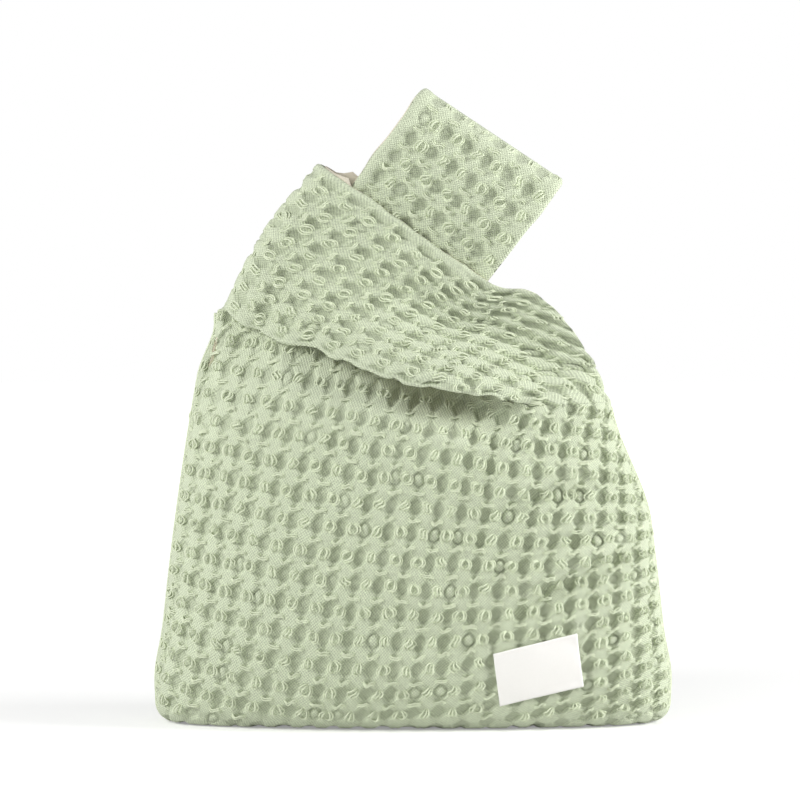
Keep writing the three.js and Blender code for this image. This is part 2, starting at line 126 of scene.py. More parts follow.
# How fine the meshes are
QUADS_PER_CELL = 12
INNER_STEP = 3
LINING_INSET = 3
BODY_COLUMNS = 342
FLOOR_ROWS = 21
WALL_ROWS = 222
BAND_ROWS = 96
BAND_COLUMNS = 168
FOLD_COLUMNS = 18
STRAP_COLUMNS = 81
LABEL_COLUMNS = 48
LABEL_ROWS = 32
YARN_SIDES = 5
SECTION_SHARES = 241
SECTION_HEIGHTS = 54
SECTION_TOP = 0.214
CLIMB_STEPS = 480
CLIMB_TOP = 0.24
CURVE_STEPS = 60

# How the rows and columns of the weave run over the body
BASE_CURVE_LENGTH = 0.007
BASE_CURVE_HEIGHT = 0.008
LEAN_TOP = 1.5
LEAN_START = 1.31
LEAN_BACK = 1.09
LEAN_ON = 0.82
LEAN_ABOVE = 3.575
COLUMN_SPREAD = 0.475
COLUMN_SHIFT = 0.33
TILT_START = 1.04
TILT_GROWTH = 2.1
TILT_EASE = 0.34
SAG_START = 1.64
SAG_GROWTH = 1.29
ROW_SHIFT = 0.5


def smooth(value, low, high):
    share = np.clip((value - low) / (high - low), 0.0, 1.0)
    return share * share * (3.0 - 2.0 * share)


def mix(first, second, share):
    return first + (second - first) * share


def on_strap(along, across):
    """A point of the front view (x, z), given along and across the long handle."""
    along = np.asarray(along)[..., None]
    across = np.asarray(across)[..., None]
    return STRAP_EXIT + ALONG * along + ACROSS * across


ROOT_LEFT = on_strap(STRAP_ROOT, -STRAP_HALF)
ROOT_RIGHT = on_strap(STRAP_ROOT, STRAP_HALF)


def dice(column, row, seed):
    """A repeatable number from 0 to 1 for a whole column and row."""
    mixed = np.sin(column * 12.9898 + row * 78.233 + seed * 37.719) * 43758.5453
    return mixed - np.floor(mixed)


def drift(across, up, seed):
    """Smooth noise from -1 to 1, with one swell to each unit."""
    column, row = np.floor(across), np.floor(up)
    right, above = across - column, up - row
    right = right * right * (3.0 - 2.0 * right)
    above = above * above * (3.0 - 2.0 * above)
    low = mix(dice(column, row, seed), dice(column + 1, row, seed), right)
    high = mix(dice(column, row + 1, seed), dice(column + 1, row + 1, seed), right)
    return 2.0 * mix(low, high, above) - 1.0


# Body of the bag


def half_width(height, right):
    level = np.minimum(height, LEFT_SHOULDER) / LEVEL
    left_draw = LEFT_DRAW * smooth(height, LEFT_DRAW_START, LEFT_DRAW_END)
    right_draw = RIGHT_DRAW * smooth(height, RIGHT_DRAW_START, RIGHT_DRAW_END)
    flare = BASE_FLARE * np.exp(-(((height - BASE_FLARE_HEIGHT) / BASE_FLARE_SPREAD) ** 2))
    draw = np.where(right, right_draw, left_draw) - flare
    plain = BAG_WIDTH / 2 - BAG_TAPER * level - SHOULDER_DRAW * level**2 - draw
    rise = np.clip(1.0 - height / CORNER_RADIUS, 0.0, 1.0)
    return plain - CORNER_RADIUS * (1.0 - np.sqrt(1.0 - rise**2))


def half_depth(height):
    low = np.clip(1.0 - height / BELLY_HEIGHT, 0.0, 1.0)
    high = np.clip((height - BELLY_HEIGHT) / (CLOSING_HEIGHT - BELLY_HEIGHT), 0.0, 0.999)
    below = BASE_HALF + (BELLY_HALF - BASE_HALF) * np.sqrt(1.0 - low**2)
    return np.where(height < BELLY_HEIGHT, below, BELLY_HALF * np.sqrt(1.0 - high**2))


def full_depth(x, height):
    share = np.clip(x / half_width(height, x > 0), -1.0, 1.0)
    return half_depth(height) * (1.0 - share**2) ** (SIDE_FULLNESS / 2)


def neck_line(x):
    left_edge = -half_width(LEFT_SHOULDER, False)
    left = mix(LEFT_SHOULDER_SHOWN, ROOT_LEFT[1], (x - left_edge) / (ROOT_LEFT[0] - left_edge))
    root = mix(ROOT_LEFT[1], ROOT_RIGHT[1], (x - ROOT_LEFT[0]) / (ROOT_RIGHT[0] - ROOT_LEFT[0]))
    share = np.clip((NECK_OFFSET - x) / (NECK_OFFSET - ROOT_RIGHT[0]), 0.0, 1.0)
    neck = mix(NECK_HEIGHT, ROOT_RIGHT[1], share**NECK_CURL)
    return np.where(x < ROOT_LEFT[0], left, np.where(x < ROOT_RIGHT[0], root, neck))


def top_height(x):
    """Top of the body, which goes up a little behind the short handle's lower hem."""
    behind = smooth(x, ROOT_RIGHT[0], ROOT_RIGHT[0] + NECK_RISE_RUN)
    behind = behind * (1.0 - smooth(x, NECK_OFFSET - NECK_FALL_RUN[0], NECK_OFFSET - NECK_FALL_RUN[1]))
    return neck_line(x) + NECK_RISE * behind


def body_depth(x, height):
    """Half the depth of the body where its neck is drawn in towards the long handle."""
    top = neck_line(x)
    wide = smooth(-x, -ROOT_RIGHT[0], -ROOT_LEFT[0])
    drawn = smooth(height, top - mix(NECK_TUCK, SHOULDER_TUCK, wide), top)
    amount = 1.0 - smooth(x, ROOT_RIGHT[0] + NECK_HOLLOW, NECK_OFFSET)
    left_edge = half_width(LEFT_SHOULDER, False)
    edge = np.clip((left_edge - STRAP_SKIN + x) / -STRAP_SKIN, 0.0, 1.0)
    closing = np.where(x < 0, np.sqrt(1.0 - edge**2), 1.0)
    full = full_depth(x, height)
    return mix(full, mix(full, STRAP_SKIN * closing, amount), drawn)


class Sections:
    """Where each share of the way round the front lies, at each height of the body."""

    def __init__(self):
        turns = np.linspace(0.0, math.pi, SECTION_SHARES)
        self.heights = np.linspace(0.0, SECTION_TOP, SECTION_HEIGHTS)
        self.shares = np.linspace(0.0, 1.0, SECTION_SHARES)
        rows, lengths = [], []
        for height in self.heights:
            side = -np.cos(turns)
            x = side * half_width(height, side > 0)
            y = full_depth(x, height)
            steps = np.hypot(np.diff(x), np.diff(y))
            length = np.concatenate([[0.0], np.cumsum(steps)])
            rows.append(np.interp(self.shares, length / length[-1], turns))
            lengths.append(length[-1])
        self.turns = np.array(rows)
        self.lengths = np.array(lengths)

    def length(self, height):
        return np.interp(height, self.heights, self.lengths)

    def across(self, share, height):
        share, height = np.broadcast_arrays(share, height)
        row = np.clip(height / self.heights[-1], 0.0, 1.0) * (len(self.heights) - 1)
        column = np.clip(share, 0.0, 1.0) * (len(self.shares) - 1)
        low = np.minimum(row.astype(int), len(self.heights) - 2)
        left = np.minimum(column.astype(int), len(self.shares) - 2)
        up, right = row - low, column - left
        below = mix(self.turns[low, left], self.turns[low, left + 1], right)
        above = mix(self.turns[low + 1, left], self.turns[low + 1, left + 1], right)
        side = -np.cos(mix(below, above, up))
        return side * half_width(height, side > 0)


SECTIONS = Sections()
CLIMB_HEIGHTS = np.linspace(0.0, CLIMB_TOP, CLIMB_STEPS + 1)
CLIMB_LENGTHS = CLIMB_HEIGHTS + BASE_CURVE_LENGTH * (1.0 - np.exp(-CLIMB_HEIGHTS / BASE_CURVE_HEIGHT))


def height_of(climb):
    """Height of a place, from the length of cloth from the base's rim up to it."""
    return np.interp(climb, CLIMB_LENGTHS, CLIMB_HEIGHTS)


def climb_of(height):
    return np.interp(height, CLIMB_HEIGHTS, CLIMB_LENGTHS)


def body_weave(share, climb, weave):
    """Columns and rows of the weave on the body: columns lean to the right, rows sag in the middle."""
    level = np.maximum(climb, 0.0) / LEVEL
    side = (share - 0.5) * SECTIONS.length(height_of(level * LEVEL)) / LEVEL
    bent = np.minimum(level, LEAN_TOP)
    lean = LEAN_START * bent - LEAN_BACK * bent**2 + LEAN_ON * bent**3 + LEAN_ABOVE * (level - bent)
    column = side * (LEVEL / weave.cell_width + COLUMN_SPREAD * level) - lean - COLUMN_SHIFT
    tilt = side * (TILT_GROWTH * level - TILT_EASE * level**2 - TILT_START)
    sag = side**2 * (SAG_GROWTH * level - SAG_START)
    return column, climb / weave.row_pitch + tilt + sag - ROW_SHIFT


# Short handle


def curve_through(points):
    """A smooth curve through points of the front view, as evenly spaced places."""
    points = np.asarray(points)
    before = np.vstack([points[:1], points, points[-1:]])
    t = np.linspace(0.0, 1.0, CURVE_STEPS)[:, None]
    places = []
    for k in range(1, len(points)):
        a, b, c, d = before[k - 1], before[k], before[k + 1], before[k + 2]
        leave, arrive = (c - a) / 2, (d - b) / 2
        cube = (2 * b - 2 * c + leave + arrive) * t**3
        square = (-3 * b + 3 * c - 2 * leave - arrive) * t**2
        places.append(cube + square + leave * t + b)
    places = np.vstack(places)
    length = np.concatenate([[0.0], np.cumsum(np.linalg.norm(np.diff(places, axis=0), axis=1))])
    return length / length[-1], places


def along_curve(curve, share):
    length, places = curve
    return np.stack([np.interp(share, length, places[:, k]) for k in range(2)], axis=-1)


RIGHT_EDGE = float(half_width(NECK_HEIGHT, True))
LOWER_EDGE = curve_through([
    (NECK_OFFSET, NECK_HEIGHT),
    (-0.006, 0.1656),
    (-0.044, 0.178),
    on_strap(-0.089, FOLD_LINE + FOLD_LOW_RADIUS + FOLD_LOW_DRAW),
])
EXIT_CORNER = on_strap(-0.0030, STRAP_HALF + 0.0044)
FOLD_CORNER = on_strap(-0.0065, FOLD_LINE + CHANNEL_SKIN)
UPPER_EDGE = curve_through([
    (RIGHT_EDGE, NECK_HEIGHT),
    (0.0815, 0.178),
    (0.060, 0.2035),
    EXIT_CORNER,
    (EXIT_CORNER + FOLD_CORNER) / 2,
    FOLD_CORNER,
])


# How the short handle lies, by the share of its length from the shoulder and of its width
BAND_GAP = 0.0006
BAND_SWELL = 0.0025
BAND_DRAWN_IN = (0.4, 0.9)
BAND_BOWED = (0.5, 1.0)
FLAT_EASE = 1.4
SHELF_FALL = (0.06, 0.66)
SHELF_START = (0.05, 0.2)
SHELF_END = (0.5, 0.85)


def band_depth(along, up, low_point):
    """Depth of the short handle's skin: a shelf on the shoulder, then flat over the long handle."""
    root_x = mix(NECK_OFFSET, RIGHT_EDGE, up)
    root = np.where(up < 1.0, full_depth(root_x, NECK_HEIGHT), 0.0)
    rise = smooth(along, 0.0, ROOT_BLEND / 2) * (STACK + BAND_GAP)
    swell = BAND_SWELL * np.sin(math.pi * along) ** 2
    gathered = smooth(along, *BAND_DRAWN_IN)
    x, z = low_point[..., 0], low_point[..., 1]
    under = mix(full_depth(x, z), body_depth(x, z), gathered)
    low = np.maximum(under + rise + swell, gathered * FOLD_LOW_RADIUS)
    flat = CHANNEL_SKIN + (low - CHANNEL_SKIN) * (1.0 - up) ** FLAT_EASE
    shelf = CHANNEL_SKIN + (low - CHANNEL_SKIN) * (1.0 - smooth(up, *SHELF_FALL))
    bulge = smooth(along, *SHELF_START) * (1.0 - smooth(along, *SHELF_END))
    return mix(root, mix(flat, shelf, bulge), smooth(along, 0.0, ROOT_BLEND))


def band_point(along, up):
    low = along_curve(LOWER_EDGE, along)
    high = along_curve(UPPER_EDGE, along)
    bow = FOLD_BOW * smooth(along, *BAND_BOWED) * np.sin(math.pi * up)
    place = mix(low, high, up[..., None]) - ACROSS * bow[..., None]
    return place, band_depth(along, up, low)


# Weave

# How the lines of the weave wander: reach in cells, and swells to a cell across and up
COLUMN_WANDER = [(0.07, 0.45, 0.45), (0.05, 0.9, 1.1)]
ROW_WANDER = [(0.07, 0.5, 0.4), (0.05, 1.1, 0.9)]

# Plain cloth beside hems and seams
HEM_PLAIN = (0.0015, 0.0062)
SEAM_PLAIN = (0.0, 0.003)
SEAM_PRESSED = (0.005, 0.020)
PRESSED_RISE = 0.30
BEAD_HEIGHT = 0.0004
BEAD_RISE = (0.0, 0.002)
BEAD_FALL = (0.0042, 0.0055)

# Gathered columns, which rise as ridges
GATHER_HEIGHT = 0.0009
GATHER_EVEN = 0.55
GATHER_BROKEN = 0.45
GATHER_SINK = 0.1

# Pits, and the hollows under knobs (eyes) and floats (valleys), in cells
CELL_WIDE = 1.05
CELL_TALL = 0.95
PIT_WALL = (-1.15, 0.0)
PIT_LEAST = 0.75
PIT_SPAN = 0.4
DOME_WALL = (0.75, 1.7)
DOME_HEIGHT = 0.85
EYE_RADIUS = 0.17
EYE_NARROW = 2.2
VALLEY_RADIUS = 0.23
VALLEY_FLAT = 1.8
HOLLOW_CURVE = 1.5
# Painted shade in the hollows under knobs and floats, beside that deep in a pit
HOLLOW_PAINTED_SHADE = 0.7

# Search for a place of the weave on the grid, in steps of the grid and cells
FIND_STEP = 6
FIND_ROUNDS = 8
FIND_LEAST_SIZE = 1e-6
FIND_MISS = 0.02


def wandered(line, column, row, swells, seed):
    """Columns or rows of the weave that wander a little, as woven ones do."""
    for k, (reach, across, up) in enumerate(swells):
        line = line + reach * drift(column * across, row * up, seed + k)
    return line


class Cloth:
    """A surface of waffle cotton: a grid of places, their normals and the weave that they carry."""

    def __init__(self, places, column, row, edge, seam, seed, weave, gather, deep):
        self.weave = weave
        self.seed = seed
        self.base = places
        self.normals = self.square_to(places)
        self.column = wandered(column, column, row, COLUMN_WANDER, seed + 1)
        self.row = wandered(row, column, row, ROW_WANDER, seed + 3)
        self.fade = smooth(edge, *HEM_PLAIN) * smooth(seam, *SEAM_PLAIN)
        self.rise = PRESSED_RISE + (1.0 - PRESSED_RISE) * smooth(seam, *SEAM_PRESSED)
        relief, painted_shade = self.relief(self.column, self.row)
        # Painted shade: how much each place darkens, faded out near hems and seams
        self.painted_shade = painted_shade * self.fade
        roll = CLOTH / 2
        turned = np.clip(1.0 - edge / roll, 0.0, 1.0)
        self.roll = -roll * (1.0 - np.sqrt(1.0 - turned**2))
        bead = BEAD_HEIGHT * smooth(edge, *BEAD_RISE) * (1.0 - smooth(edge, *BEAD_FALL))
        broken = GATHER_EVEN + GATHER_BROKEN * np.cos(2 * math.pi * self.row)
        ridge = np.cos(2 * math.pi * self.column) * broken - GATHER_SINK
        relief = relief * deep + GATHER_HEIGHT * gather * ridge
        deepest = np.maximum(-relief - KNEE_DEPTH, 0.0)
        spare = SPARE_DEPTH * (1.0 - np.exp(-deepest / SPARE_DEPTH))
        relief = np.maximum(relief, -KNEE_DEPTH) - spare
        offset = relief * self.fade + self.roll + bead
        self.places = places + self.normals * offset[..., None]

    @staticmethod
    def square_to(places):
        across = np.gradient(places, axis=1)
        upward = np.gradient(places, axis=0)
        normals = np.cross(across, upward)
        length = np.linalg.norm(normals, axis=-1, keepdims=True)
        return normals / np.maximum(length, 1e-12)

    def relief(self, column, row):
        """Height of the pits and knobs, and how much shade is painted on a place, from 0 to 1: by how deep in
        a pit it is, and in the hollows under knobs and floats.
        """
        weave = self.weave
        left, below = np.floor(column), np.floor(row)
        wave = CELL_WIDE * np.cos(2 * math.pi * column) + CELL_TALL * np.cos(2 * math.pi * row)
        sunk = 1.0 - smooth(wave, *PIT_WALL)
        depth = weave.pit_depth * (PIT_LEAST + PIT_SPAN * dice(left, below, self.seed + 5))
        popped = dice(left, below, self.seed + 6) < weave.popped_share
        dome = smooth(-wave, *DOME_WALL)
        bottom = sunk * np.where(popped, 1.0 - DOME_HEIGHT * dome, 1.0)
        side, level = column - np.round(column), row - below - 0.5
        eye = np.clip(1.0 - (side**2 * EYE_NARROW + level**2) / EYE_RADIUS**2, 0.0, 1.0)
        gap = column - left - 0.5, row - np.round(row)
        valley = np.clip(1.0 - (gap[0] ** 2 + gap[1] ** 2 * VALLEY_FLAT) / VALLEY_RADIUS**2, 0.0, 1.0)
        hollows = weave.eye_depth * eye**HOLLOW_CURVE + weave.valley_depth * valley**HOLLOW_CURVE
        return -depth * bottom - hollows, np.maximum(bottom, HOLLOW_PAINTED_SHADE * np.maximum(eye, valley))

    def sample(self, grid, column, row):
        rows, columns = grid.shape[:2]
        column = np.clip(column, 0.0, columns - 1.0)
        row = np.clip(row, 0.0, rows - 1.0)
        left = np.minimum(column.astype(int), columns - 2)
        low = np.minimum(row.astype(int), rows - 2)
        right, up = column - left, row - low
        if grid.ndim == 3:
            right, up = right[..., None], up[..., None]
        below = mix(grid[low, left], grid[low, left + 1], right)
        above = mix(grid[low + 1, left], grid[low + 1, left + 1], right)
        return mix(below, above, up)

    def find(self, column, row):
        """Grid positions of these columns and rows, whether they are on the cloth, and its slopes."""
        rows, columns = self.column.shape
        coarse_column = self.column[::FIND_STEP, ::FIND_STEP]
        coarse_row = self.row[::FIND_STEP, ::FIND_STEP]
        gap = (coarse_column.ravel() - column[:, None]) ** 2
        gap += (coarse_row.ravel() - row[:, None]) ** 2
        nearest = gap.argmin(axis=1)
        at_row = (nearest // coarse_column.shape[1] * FIND_STEP).astype(float)
        at_column = (nearest % coarse_column.shape[1] * FIND_STEP).astype(float)
        turn_up, turn_right = np.gradient(self.column)
        climb_up, climb_right = np.gradient(self.row)
        for _ in range(FIND_ROUNDS):
            a = self.sample(turn_right, at_column, at_row)
            b = self.sample(turn_up, at_column, at_row)
            c = self.sample(climb_right, at_column, at_row)
            d = self.sample(climb_up, at_column, at_row)
            miss_column = column - self.sample(self.column, at_column, at_row)
            miss_row = row - self.sample(self.row, at_column, at_row)
            size = a * d - b * c
            size = np.where(np.abs(size) < FIND_LEAST_SIZE, FIND_LEAST_SIZE, size)
            move_right = np.clip((d * miss_column - b * miss_row) / size, -FIND_STEP, FIND_STEP)
            move_up = np.clip((a * miss_row - c * miss_column) / size, -FIND_STEP, FIND_STEP)
            at_column = np.clip(at_column + move_right, 0, columns - 1)
            at_row = np.clip(at_row + move_up, 0, rows - 1)
        miss = np.hypot(miss_column, miss_row)
        slopes = np.stack([d, -b, -c, a], axis=-1) / size[..., None]
        return at_column, at_row, miss < FIND_MISS, slopes


# Layout of the maps that the finishes are baked to, as shares of the picture
BAKE_LOW = 0.005
BAKE_HIGH = 0.995
BAKE_SPAN = 0.99
BAKE_HALF_TOP = 0.485
OUTER_BAKE = (0.2, 1)
INNER_BAKE = (0.16, 0)
# Painted shade on each cloth's inner layer, as a share of that deep in a pit
INNER_PAINTED_SHADE = 0.4


def grid_quads(width, height, first=0):
    """Faces of a grid of places, which go row by row from the first one."""
    low = first + (np.arange(height - 1)[:, None] * width + np.arange(width - 1)).ravel()
    return np.stack([low, low + 1, low + width + 1, low + width], axis=1)


def grid_rims(width, height, first=0):
    """The grid's four rims: bottom, top, left and right."""
    level = first + np.arange(width)
    side = first + np.arange(height) * width
    return [level[::-1], level + (height - 1) * width, side, side[::-1] + width - 1]


def cloth_mesh(name, cloth):
    """The cloth as one closed sheet: a fine outer layer and a coarser inner one, joined at the rim."""
    rows, columns = cloth.base.shape[:2]
    inner_rows = np.arange(0, rows, INNER_STEP)
    inner_columns = np.arange(0, columns, INNER_STEP)
    pick = np.ix_(inner_rows, inner_columns)
    tall, narrow = len(inner_rows), len(inner_columns)
    outer = cloth.places.reshape(-1, 3)
    under = cloth.base + cloth.normals * (-CLOTH - cloth.roll)[..., None]
    inner = under[pick].reshape(-1, 3)
    quads = [grid_quads(columns, rows), grid_quads(narrow, tall, len(outer))[:, ::-1]]
    triangles = []
    for fine, coarse in zip(grid_rims(columns, rows), grid_rims(narrow, tall, len(outer))):
        here, after = coarse[:-1], coarse[1:]
        first, second, third = (fine[k::INNER_STEP][:len(here)] for k in range(INNER_STEP))
        fourth = fine[INNER_STEP::INNER_STEP]
        triangles += [
            np.stack([first, second, here], axis=1),
            np.stack([second, after, here], axis=1),
            np.stack([second, third, after], axis=1),
            np.stack([third, fourth, after], axis=1),
        ]
    across = np.linspace(0, 1, columns)
    share_x = np.concatenate([np.tile(across, rows), np.tile(across[inner_columns], tall)])
    share_y = np.concatenate([
        np.repeat(np.linspace(*OUTER_BAKE, rows), columns),
        np.repeat(np.linspace(*INNER_BAKE, tall), narrow),
    ])
    bake = np.stack([BAKE_LOW + BAKE_SPAN * share_x, BAKE_LOW + BAKE_SPAN * share_y], axis=1)
    threads = np.vstack([
        np.stack([cloth.column.ravel(), cloth.row.ravel()], axis=1),
        np.stack([cloth.column[pick].ravel(), cloth.row[pick].ravel()], axis=1),
    ]) * cloth.weave.threads_per_cell
    # Painted shade by place: the pits of the outer layer, and an even amount on the inner one
    painted_shade = np.concatenate([cloth.painted_shade.ravel(), np.full(len(inner), INNER_PAINTED_SHADE)])
    places = np.vstack([outer, inner])
    faces = [np.vstack(quads), np.vstack(triangles)]
    return mesh_object(name, places, faces, {"Weave": threads, "OFBake": bake}, {"pit": painted_shade})


def sheet_mesh(name, layers, threads):
    """A thin closed sheet from two like grids of places, its outer layer first."""
    height, width = layers[0].shape[:2]
    size = width * height
    outer = grid_quads(width, height)
    rims = [
        np.stack([rim[:-1], rim[1:], rim[1:] + size, rim[:-1] + size], axis=1)
        for rim in grid_rims(width, height)
    ]
    places = np.vstack([layer.reshape(-1, 3) for layer in layers])
    across, up = np.meshgrid(
        np.linspace(BAKE_LOW, BAKE_HIGH, width), np.linspace(BAKE_LOW, BAKE_HALF_TOP, height),
    )
    bake = np.stack([across.ravel(), up.ravel()], axis=1)
    maps = {"Weave": np.vstack([threads, threads]), "OFBake": np.vstack([bake, bake + np.array([0.0, 0.5])])}
    faces = [np.vstack([outer, outer[:, ::-1] + size, *rims])]
    return mesh_object(name, places, faces, maps, {"pit": np.zeros(len(places))})


WELD = 1e-6
SLIVER = 1e-7


def mesh_object(name, places, faces, maps, values):
    """A mesh from places, arrays of faces, maps by vertex and values by vertex."""
    corners = np.concatenate([part.ravel() for part in faces]).astype(np.int32)
    sizes = np.concatenate([np.full(len(part), part.shape[1]) for part in faces])
    starts = np.concatenate([[0], np.cumsum(sizes)[:-1]]).astype(np.int32)
    mesh = bpy.data.meshes.new(name)
    mesh.vertices.add(len(places))
    mesh.vertices.foreach_set("co", places.astype(np.float32).ravel())
    mesh.loops.add(len(corners))
    mesh.loops.foreach_set("vertex_index", corners)
    mesh.polygons.add(len(sizes))
    mesh.polygons.foreach_set("loop_start", starts)
    for title, where in maps.items():
        layer = mesh.uv_layers.new(name=title)
        where = where if len(where) == len(corners) else where[corners]
        layer.uv.foreach_set("vector", where.astype(np.float32).ravel())
    for title, amounts in values.items():
        attribute = mesh.attributes.new(title, "FLOAT", "POINT")
        attribute.data.foreach_set("value", amounts.astype(np.float32))
    mesh.update(calc_edges=True)
    piece = bpy.data.objects.new(name, mesh)
    bpy.context.scene.collection.objects.link(piece)
    mend = bmesh.new()
    mend.from_mesh(mesh)
    bmesh.ops.remove_doubles(mend, verts=mend.verts, dist=WELD)
    bmesh.ops.dissolve_degenerate(mend, edges=mend.edges, dist=SLIVER)
    mend.to_mesh(mesh)
    mend.free()
    mesh.shade_smooth()
    return piece


# Yarns: their pointed tips, their places on the baked maps and their threads
TIP_LENGTH = 0.0003
YARN_ISLAND_SHAPE = 3
YARN_ISLAND_ROOM = 0.9
YARN_ISLAND_GAP = 0.05
YARN_WALL_START = 0.1
YARN_WALL_SPAN = 0.8
YARN_START_CAP = [0.1, 0.1, 0.02]
YARN_END_CAP = [0.9, 0.9, 0.98]
YARN_THREADS_ALONG = 10
YARN_THREADS_ROUND = 3
YARN_THREADS_SHIFT = 0.37
LEAST_LENGTH = 1e-12


def yarn_mesh(name, paths, radii, normals):
    """Closed tubes with pointed ends round paths of places."""
    sides = YARN_SIDES
    count, steps = paths.shape[:2]
    forward = np.gradient(paths, axis=1)
    forward /= np.maximum(np.linalg.norm(forward, axis=-1, keepdims=True), LEAST_LENGTH)
    right = np.cross(forward, normals)
    right /= np.maximum(np.linalg.norm(right, axis=-1, keepdims=True), LEAST_LENGTH)
    above = np.cross(right, forward)
    turns = np.arange(sides) / sides * 2 * math.pi
    ring = right[:, :, None] * np.cos(turns)[:, None] + above[:, :, None] * np.sin(turns)[:, None]
    tube = paths[:, :, None] + ring * radii[:, :, None, None]
    tips = paths[:, [0, -1]] + forward[:, [0, -1]] * np.array([-1, 1])[:, None] * TIP_LENGTH
    each = steps * sides + 2
    places = np.concatenate([tube.reshape(count, -1, 3), tips], axis=1).reshape(-1, 3)
    step = np.arange(steps - 1)[:, None] * sides
    side = np.arange(sides)
    after = (side + 1) % sides
    walls = np.stack([step + side, step + after, step + sides + after, step + sides + side], axis=-1)
    walls = walls.reshape(-1, 4)
    last = (steps - 1) * sides
    start_caps = np.stack([after, side, np.full(sides, each - 2)], axis=1)
    end_caps = np.stack([last + side, last + after, np.full(sides, each - 1)], axis=1)
    caps = np.vstack([start_caps, end_caps])
    shift = np.arange(count)[:, None, None] * each
    faces = [(walls + shift).reshape(-1, 4), (caps + shift).reshape(-1, 3)]

    tall = math.ceil(math.sqrt(count / YARN_ISLAND_SHAPE))
    wide = math.ceil(count / tall)
    index = np.arange(count)
    corner = np.stack([index % wide / wide, index // wide / tall], axis=1)
    room = np.array([YARN_ISLAND_ROOM / wide, YARN_ISLAND_ROOM / tall])
    begin = step + 0 * side
    wall_u = np.stack([begin, begin, begin + sides, begin + sides], axis=-1).reshape(-1, 4)
    wall_u = wall_u / sides / (steps - 1) * YARN_WALL_SPAN + YARN_WALL_START
    wall_v = np.stack([side, side + 1, side + 1, side], axis=-1)[None].repeat(steps - 1, 0)
    wall_v = wall_v.reshape(-1, 4) / sides
    cap_u = np.repeat([YARN_START_CAP, YARN_END_CAP], sides, axis=0)
    cap_v = np.vstack([
        np.stack([side + 1, side, side + 0.5], axis=1),
        np.stack([side, side + 1, side + 0.5], axis=1),
    ]) / sides
    bakes, twists = [], []
    for u, v in ((wall_u, wall_v), (cap_u, cap_v)):
        local = np.stack([u, v], axis=-1)[None]
        bakes.append((corner[:, None, None] + local * room + room * YARN_ISLAND_GAP).reshape(-1, 2))
        twist = np.stack([u * YARN_THREADS_ALONG, v * YARN_THREADS_ROUND], axis=-1)[None]
        twist = twist + index[:, None, None, None] * YARN_THREADS_SHIFT
        twists.append(twist.reshape(-1, 2))
    maps = {"Weave": np.vstack(twists), "OFBake": np.vstack(bakes)}
    return mesh_object(name, places, faces, maps, {"pit": np.zeros(len(places))})


def cell_span(cloth, column, row, slopes, way):
    """Size of a cell of the weave at places of the grid, across (0) or along (1) the cloth."""
    right, up = slopes[:, way] / 4, slopes[:, 2 + way] / 4
    after = cloth.sample(cloth.base, column + right, row + up)
    before = cloth.sample(cloth.base, column - right, row - up)
    return 2 * np.linalg.norm(after - before, axis=-1)


STRAND = np.linspace(-1.0, 1.0, 9)
STRAND_ARCH = np.cos(STRAND * math.pi / 2).clip(0.0)
NO_STRAND = 9.0
WIDEST_SPREAD = 5

# Where loose yarns are sewn, and how they follow the cloth
YARN_RIM = 2
YARN_LEAST_FADE = 0.72
YARN_LYING = 0.5
YARN_LYING_SLOPE = (0.25, 0.6)
YARN_SCALES = (0.35, 1.1)
YARN_SINK = 0.0003
YARN_LIFT_CURVE = 0.8
YARN_LEAST = 0.85
YARN_SPAN = 0.35
YARN_END = 0.55
YARN_MIDDLE = 0.45

# Knobs, in cells: a ring opens round an eye, and the strands of a leaning one lie together
RING_SHARE = 0.6
RING_STRANDS = np.array([-1.0, -0.60, 0.60, 1.0])
LEANING_STRANDS = np.array([-0.85, 0.0, 0.85, NO_STRAND])
RING_WIDTH = 0.19
RING_WIDTH_SPAN = 0.05
LEANING_WIDTH = 0.13
LEANING_WIDTH_SPAN = 0.04
KNOB_BOW = 0.03
RING_SWAY = 0.06
LEANING_SWAY = 0.20
RING_TWIST = 0.04
LEANING_TWIST = 0.16
KNOB_REACH = 0.21
KNOB_REACH_SPAN = 0.05
INNER_STRAND = 0.7
INNER_SHORTER = 0.04
KNOB_FOOT = 0.045
KNOB_CURVE = 0.6
KNOB_TURN = 0.15
KNOB_TURN_SPAN = 0.9
KNOB_LIFT = 0.0021
KNOB_ARCH = 0.0012
KNOB_ARCH_LOSS = 0.0005
KNOB_WIDTH = 1.1

# Floats, in cells
TWO_STRANDS_SHARE = 0.75
TWO_STRANDS = np.array([-0.7, 0.7, NO_STRAND])
SAGGING_SHARE = 0.65
FLOAT_SAG = 0.02
FLOAT_SAG_SPAN = 0.07
FLOAT_TWIST = 0.03
FLOAT_TWIST_SPAN = 0.09
FLOAT_REACH = 0.25
FLOAT_REACH_SPAN = 0.05
FLOAT_WAVE = 0.035
FLOAT_WAVE_MIDDLE = 0.2
FLOAT_FOOT = 0.05
FLOAT_LIFT = 0.0022
FLOAT_LIFT_SPAN = 0.0008
FLOAT_WIDTH = 0.9


